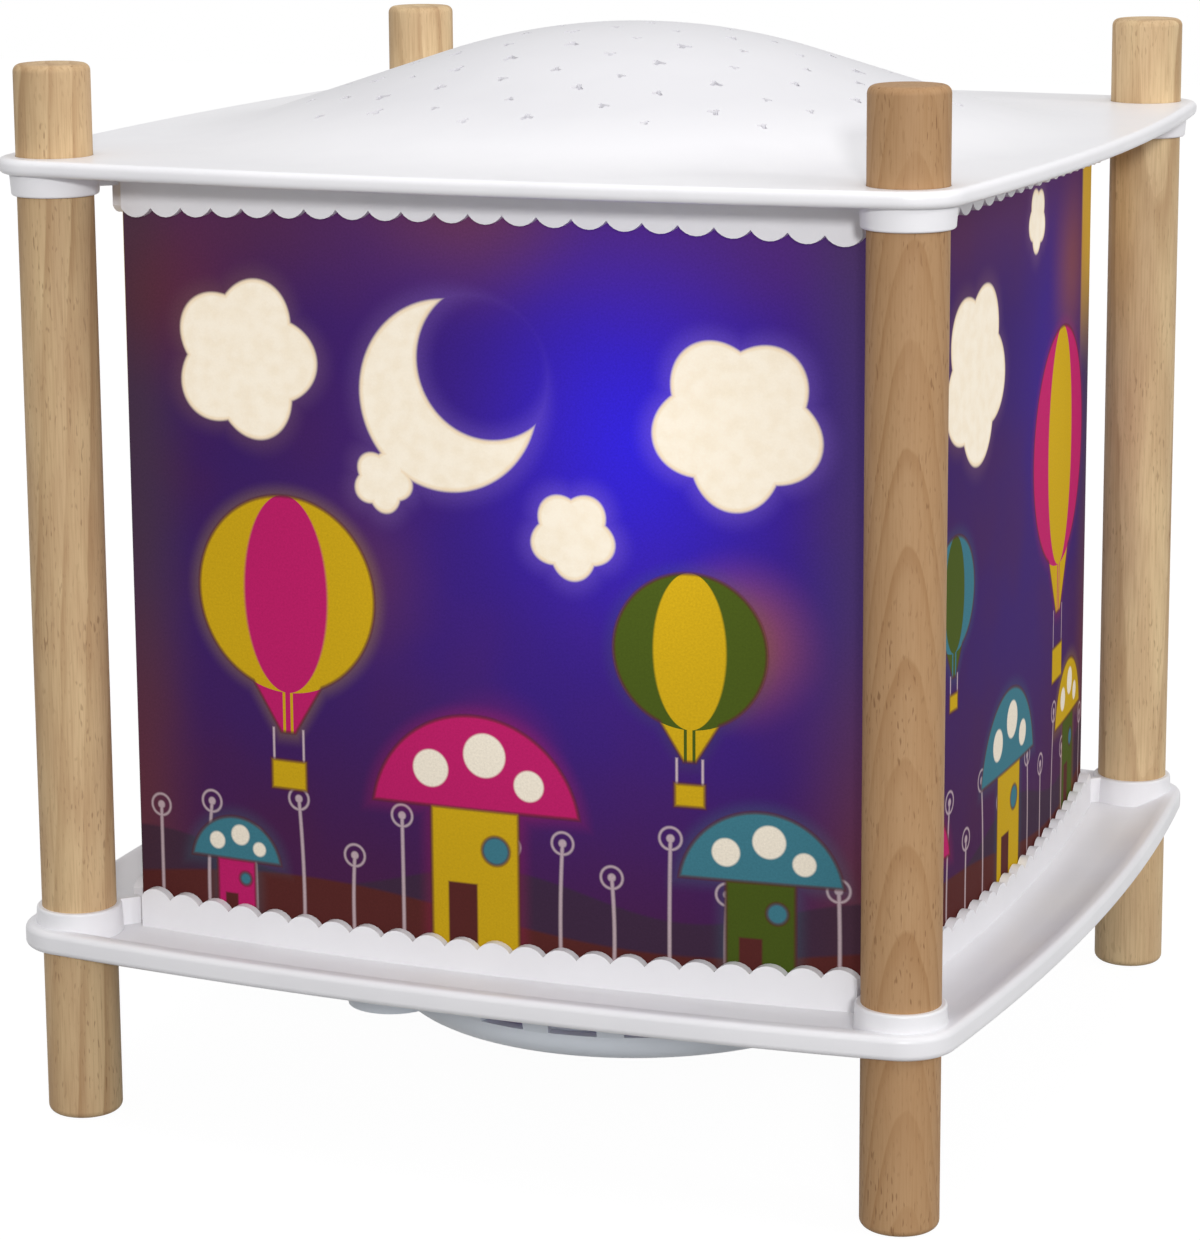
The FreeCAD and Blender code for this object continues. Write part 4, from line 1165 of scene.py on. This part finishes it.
# %% Balloons and toadstools
BALLOONS = ((31, 62, 17.0, ink_yellow, ink_magenta), (104, 58, 13.0, ink_green, ink_yellow),
            (238, 76, 22.0, ink_magenta, ink_yellow), (170, 62, 10.0, ink_teal, ink_green))
TOADSTOOLS = ((66, 28, 19.0, ink_magenta, ink_yellow), (116, 20, 14.0, ink_teal, ink_green),
              (20, 14, 9.0, ink_teal, ink_magenta), (202, 24, 17.0, ink_teal, ink_yellow),
              (158, 17, 11.0, ink_magenta, ink_teal), (250, 22, 13.0, ink_yellow, ink_green))


def pictures(page, tint):
    mix, rise, inked = page.finish.mix, page.finish.rise, page.inked

    def bloom(shape, ink):
        """A little of the ink's light about its shape."""
        return mix(rise(shape, 3.0, -1.0) * 0.2, tint, ink)

    def outlined(*outlines):
        return mix(inked(page.join(*outlines) - PEN_WIDTH, 0.2) * 0.6, tint, ink_brown)

    for s, t, radius, first, second in BALLOONS:
        envelope, stripe, basket, rope = balloon(page, s, t, radius)
        tint = bloom(envelope, first)
        tint = mix(inked(rope, 0.2), tint, ink_line)
        tint = mix(inked(envelope), tint, mix(rise(stripe, -0.08, 0.08), first, second))
        tint = mix(inked(basket), tint, ink_yellow)
        tint = outlined(envelope.math("ABSOLUTE"), basket.math("ABSOLUTE"))
    for s, t, radius, first, second in TOADSTOOLS:
        cap, spots, stem, door, window = toadstool(page, s, t, radius)
        tint = bloom(page.join(cap, stem), first)
        for shape, ink in ((stem, second), (cap, first), (spots, ink_cream),
                           (door, ink_brown), (window, ink_teal)):
            tint = mix(inked(shape), tint, ink)
        tint = outlined(cap.math("ABSOLUTE"), page.shared(stem.math("ABSOLUTE"), 0 - cap),
                        window.math("ABSOLUTE"))
    return tint


# %% [markdown]
# The moon and the blossoms are left unprinted, so the light comes straight through them.
# They bleed a little of it into the ink about them, and paper pulp mottles them.

# %% Print the sheet
BLOSSOMS = ((24, 102, 14.0, 0.0), (112, 96, 14.5, 0.9), (50, 83, 5.5, 0.4),
            (180, 98, 16.0, 0.5), (84, 76, 7.5, 0.7), (216, 120, 6.0, 1.1))
GIVEN_OFF = 0.80


def pale_shapes(page, pale, tint):
    mix, rise = page.finish.mix, page.finish.rise
    halo = mix(page.wide, colour(128, 92, 92), colour(124, 96, 212))
    tint = mix(rise(pale, 4.2, -1.5) * 0.4, tint, halo)
    pulp = page.finish.noise(page.plane, 0.35, 3.0)
    cream = mix(rise(pulp, 0.3, 0.75) * 0.4, ink_cream, colour(240, 222, 192))
    tint = mix(page.inked(pale, 0.35), tint, cream)
    rim = page.inked((pale + 0.3).math("ABSOLUTE") - 0.3, 0.3)
    return mix(rim * 0.3, tint, colour(226, 180, 110))


def printed():
    finish = Finish("printed_sheet")
    page = lit_page(finish)
    moon = page.shared(page.disc(62, 98, 16.0), 0 - page.disc(69.5, 104, 13.0))
    pale = page.join(moon, *(page.blossom(*flower) for flower in BLOSSOMS))
    tint = pale_shapes(page, pale, pictures(page, meadow(page, night_sky(page))))

    speck = finish.noise(page.plane, 2.6, 2.0, 0.7)
    weave = finish.noise(page.plane, 1.1, 1.0)
    pale_here = page.inked(pale, 0.35)
    # Painted light: the sheet gives off less light towards its foot and near the creases.
    foot = finish.rise(page.t, 60.0, 0.0) * 0.1
    power = (0.64 + page.near * 0.3 + page.wide * 0.22 - foot) * (1 - page.edge * 0.15)
    power = power * (1 - pale_here) + pale_here * (0.86 + page.near * 0.16)
    steady = (0.7 + speck * 0.6) * (1 - pale_here * 0.8) + pale_here * 0.8
    finish.surface(Base_Color=finish.times(tint, 0.3),
                   Emission_Color=finish.times(tint, power * steady),
                   Emission_Strength=GIVEN_OFF, Roughness=0.6 + speck * 0.2,
                   Specular_IOR_Level=0.06,
                   Normal=finish.bump(speck + weave, 0.25, 0.06 * MM))
    return finish.material


sheet.data.materials.append(printed())

# %% [markdown]
# ## The pieces inside
#
# The working parts keep the shapes of the frame and only get their finishes: drawn and
# plated steel, a glazed ceramic holder, the glass capsule, a brass cup, and the printed
# film of the drum.  Metal is brushed or turned, so its scratches run one way: noise that
# is squeezed along one axis.


# %% Metal, ceramic and glass finishes
def metal(name, tint, dull, roughness, squeeze):
    finish = Finish(name)
    scratch = finish.noise(finish.place(unit=squeeze), 1.0, 3.0, 0.6)
    stain = finish.noise(finish.place(), 0.12, 3.0)
    finish.surface(Base_Color=finish.mix(finish.rise(stain, 0.4, 0.8) * 0.6, tint, dull),
                   Metallic=1.0, Roughness=roughness + scratch * 0.18,
                   Normal=finish.bump(scratch, 0.2, 0.03 * MM))
    return finish.material


steel_light, steel_dull = colour(214, 214, 216), colour(168, 166, 162)
ALONG_Z = (0.25 * MM, 0.25 * MM, 6 * MM)
ROUND_Z = (3 * MM, 3 * MM, 0.2 * MM)
stem_steel = metal("stem_steel", colour(222, 216, 196), colour(180, 170, 140), 0.26, ROUND_Z)
nut_steel = metal("nut_steel", steel_light, steel_dull, 0.3, ROUND_Z)
bracket_steel = metal("bracket_steel", steel_light, steel_dull, 0.34, (6 * MM, 0.25 * MM, 6 * MM))
screw_steel = metal("screw_steel", colour(196, 196, 198), colour(140, 138, 136), 0.3, ROUND_Z)
arch_wire = metal("arch_wire", steel_light, steel_dull, 0.22, ALONG_Z)
needle_steel = metal("needle_steel", colour(190, 192, 198), colour(120, 124, 140), 0.16, ALONG_Z)
cup_brass = metal("cup_brass", colour(226, 190, 112), colour(170, 130, 66), 0.24, ROUND_Z)
pin_metal = metal("pin_metal", colour(200, 198, 190), colour(150, 146, 138), 0.3, ALONG_Z)


def glazed_ceramic():
    finish = Finish("glazed_ceramic")
    here = finish.place()
    pits, scorch = finish.noise(here, 2.2, 3.0), finish.noise(here, 0.2, 2.0)
    finish.surface(Base_Color=finish.mix(finish.rise(scorch, 0.5, 0.85) * 0.5,
                                         colour(236, 230, 218), colour(204, 190, 168)),
                   Roughness=0.34 + pits * 0.2, Normal=finish.bump(pits, 0.3, 0.05 * MM))
    return finish.material


def warm_glass():
    """The capsule, with the glow of the lit coil spread through it."""
    finish = Finish("bulb_glass")
    seeds = finish.noise(finish.place(), 1.4, 2.0)
    finish.surface(Base_Color=colour(255, 250, 240), Roughness=0.04 + seeds * 0.05,
                   Transmission_Weight=0.9, IOR=1.46, Emission_Color=colour(255, 226, 170),
                   Emission_Strength=0.35, Normal=finish.bump(seeds, 0.08, 0.05 * MM))
    return finish.material


def lit_coil():
    finish = Finish("lit_coil")
    along = finish.axes(finish.place())[0]
    turns = (along * 12.0).math("SINE") * 0.5 + 0.5
    finish.surface(Base_Color=colour(120, 110, 100), Metallic=1.0, Roughness=0.4,
                   Emission_Color=finish.mix(turns, colour(255, 170, 80), colour(255, 236, 190)),
                   Emission_Strength=6.0)
    return finish.material


def lead_sleeve():
    """Braided glass-fibre sleeving."""
    finish = Finish("lead_sleeve")
    across, deep, along = finish.axes(finish.place())
    one_way = ((across + deep) * 5.0 + along * 5.0).math("SINE")
    other_way = ((across - deep) * 5.0 - along * 5.0).math("SINE")
    braid = one_way * other_way * 0.5 + 0.5
    finish.surface(Base_Color=finish.mix(braid, colour(206, 200, 184), colour(238, 234, 222)),
                   Roughness=0.75, Normal=finish.bump(braid, 0.5, 0.08 * MM))
    return finish.material


# %% [markdown]
# The drum's film carries its own bold shapes: broad petals and dots in orange, pink and
# green, which the lit sheet in front of it blurs to patches.

# %% Drum film finish
DRUM_PANELS, PANEL_WIDTH = 8, 40.0
DRUM_PRINT_FOOT, DRUM_ROW = 42.0, 29.0


def drum_print():
    finish = Finish("printed_film")
    here = finish.place()
    across, deep, up = finish.axes(here)
    turn = deep.math("ARCTAN2", across) * (DRUM_PANELS / (2 * math.pi))
    panel = turn.math("FLOOR")
    s = (turn - panel - 0.5) * PANEL_WIDTH
    above = up - DRUM_PRINT_FOOT
    row = (above / DRUM_ROW).math("FLOOR")
    t = above - row * DRUM_ROW - DRUM_ROW / 2
    kind = (panel + row * 3.0).math("FLOORED_MODULO", 3.0)
    round_way = Drawing.length(s, t)
    petals = ((t.math("ARCTAN2", s) * 3.0).math("COSINE").math("ABSOLUTE") * 3.0 + 8.5)
    spot = finish.rise(round_way - petals, 0.4, -0.4)
    heart = finish.rise(round_way - 3.2, 0.3, -0.3)
    warm = finish.mix(finish.rise(kind, 0.4, 0.6), colour(226, 120, 40), colour(210, 50, 120))
    warm = finish.mix(finish.rise(kind, 1.4, 1.6), warm, colour(90, 150, 60))
    tint = finish.mix(spot, colour(60, 50, 170), warm)
    tint = finish.mix(heart, tint, colour(250, 220, 90))
    speck = finish.noise(here, 2.4, 2.0)
    # Painted light: the film gives off light for the bulb behind it, brighter higher up, with a
    # random speckle.
    lit = finish.rise(up, 30.0, 110.0) * 0.5 + 0.45 + speck * 0.12
    finish.surface(Base_Color=finish.times(tint, 0.5), Emission_Color=finish.times(tint, lit),
                   Emission_Strength=0.7, Roughness=0.32 + speck * 0.1,
                   Normal=finish.bump(speck, 0.1, 0.04 * MM))
    return finish.material


finishes = {
    "pod": pod_abs, "pod_screws": screw_steel, "stem": stem_steel, "stem_nuts": nut_steel,
    "lamp_bracket": bracket_steel, "lampholder": glazed_ceramic(), "bulb_glass": warm_glass(),
    "bulb_pins": pin_metal, "bulb_filament": lit_coil(), "pivot_arch": arch_wire,
    "pivot_needle": needle_steel, "drum_film": drum_print(), "drum_hoop": wheel_plastic,
    "turbine_wheel": wheel_plastic, "pivot_cup": cup_brass, "terminal_block": block_plastic,
    "inner_leads": lead_sleeve(),
}
for name, material in finishes.items():
    for slot in nodes[name].material_slots:
        slot.material = material
    if not nodes[name].material_slots:
        nodes[name].data.materials.append(material)
print("finished pieces of the frame:", len(finishes))

# %% [markdown]
# ## Camera
#
# The lamp is seen from in front, a little from the right and a little above, by a long lens
# some 70 cm away.  The lens is shifted sideways and down instead of turned, which keeps
# the posts upright.

# %% Set the camera
CAMERA_PLACE = Vector((249.94, -639.88, 235.16)) * MM
CAMERA_YAW, CAMERA_PITCH, CAMERA_ROLL = 0.403, -0.194, -0.0106
LENS_MM, SENSOR_MM = 111.59, 36.0
SHIFT_ACROSS, SHIFT_UP = 0.0668, -0.0931
camera_data = bpy.data.cameras.new("camera")
camera_data.lens, camera_data.sensor_width = LENS_MM, SENSOR_MM
camera_data.shift_x, camera_data.shift_y = SHIFT_ACROSS, SHIFT_UP
camera_data.clip_start, camera_data.clip_end = 0.05, 50.0
camera = bpy.data.objects.new("camera", camera_data)
camera.matrix_world = (
    Matrix.Translation(CAMERA_PLACE) @ Matrix.Rotation(CAMERA_YAW, 4, "Z")
    @ Matrix.Rotation(math.pi / 2 + CAMERA_PITCH, 4, "X") @ Matrix.Rotation(CAMERA_ROLL, 4, "Z"))
bpy.context.scene.collection.objects.link(camera)
bpy.context.scene.camera = camera

# %% [markdown]
# ## Floor, backdrop and light
#
# The lamp stands on a white table in front of white.  The world is white to the camera and
# in reflections, but lights the lamp only softly.  The floor is mixed with plain white, so
# that it meets the backdrop with no line and still takes the lamp's shadow.

# %% Floor and world
FLOOR_SIZE = 4.0
FLOOR_GLOW = 0.7
FLOOR_WHITE = 1.38
ROOM_LIGHT = 0.6


def white_floor():
    bpy.ops.mesh.primitive_plane_add(size=FLOOR_SIZE, location=(0, 0, 0))
    floor = name_it(bpy.context.object, "table_top")
    finish = Finish("table_top")
    mottle = finish.noise(finish.place(), 0.02, 2.0)
    finish.surface(Base_Color=finish.mix(mottle, colour(120, 120, 121), colour(123, 123, 123)),
                   Roughness=0.8, Specular_IOR_Level=0.1)
    rays = finish.node("ShaderNodeLightPath")
    seen = rays[0] + rays[3] + rays[6]
    glow = finish.node("ShaderNodeEmission", None, {0: (1, 1, 1, 1), 1: FLOOR_WHITE})[0]
    plain = Number(finish, finish.shader.outputs[0])
    both = finish.node("ShaderNodeMixShader", None,
                       {0: seen.math("MINIMUM", 1.0) * FLOOR_GLOW, 1: plain, 2: glow})[0]
    finish.plug(finish.tree.nodes["Material Output"].inputs["Surface"], both)
    floor.data.materials.append(finish.material)
    return floor


object_mode()
white_floor()

world = bpy.data.worlds.new("studio")
bpy.context.scene.world = world
world.use_nodes = True
studio = Graph(world.node_tree)
studio.tree.nodes.clear()
rays = studio.node("ShaderNodeLightPath")
strength = studio.node("ShaderNodeMix", None,
                       {0: rays[0].math("MAXIMUM", rays[6]), 2: ROOM_LIGHT, 3: 1.0})[0]
background = studio.node("ShaderNodeBackground", None, {0: (1, 1, 1, 1), 1: strength})[0]
studio.node("ShaderNodeOutputWorld", None, {0: background})


# %% [markdown]
# The key light stands low, 13 degrees above the cover and 25 degrees to the right, so the
# cover's rim throws a narrow shadow on the upper half of the skirt and the lobes below stay
# bright.  A higher light on the right rounds the posts, and a broad one far above lights
# the cover evenly.

# %% Lamps
LAMP_MIDDLE = Vector((0, 0, 0.1))


def soft_light(name, place, size, power):
    """A round soft lamp, in metres and watts, that faces the lamp's middle."""
    data = bpy.data.lights.new(name, "AREA")
    data.shape, data.size, data.energy = "DISK", size, power
    light = bpy.data.objects.new(name, data)
    light.location = place
    direction = LAMP_MIDDLE - Vector(place)
    light.rotation_euler = direction.to_track_quat("-Z", "Y").to_euler()
    bpy.context.scene.collection.objects.link(light)


soft_light("key", (0.66, -1.41, 0.54), 0.16, 10.5)
soft_light("side", (1.45, -0.2, 0.8), 0.4, 5)
soft_light("top", (0, 0, 3.0), 1.5, 21)

bpy.context.scene.view_settings.view_transform = "Standard"
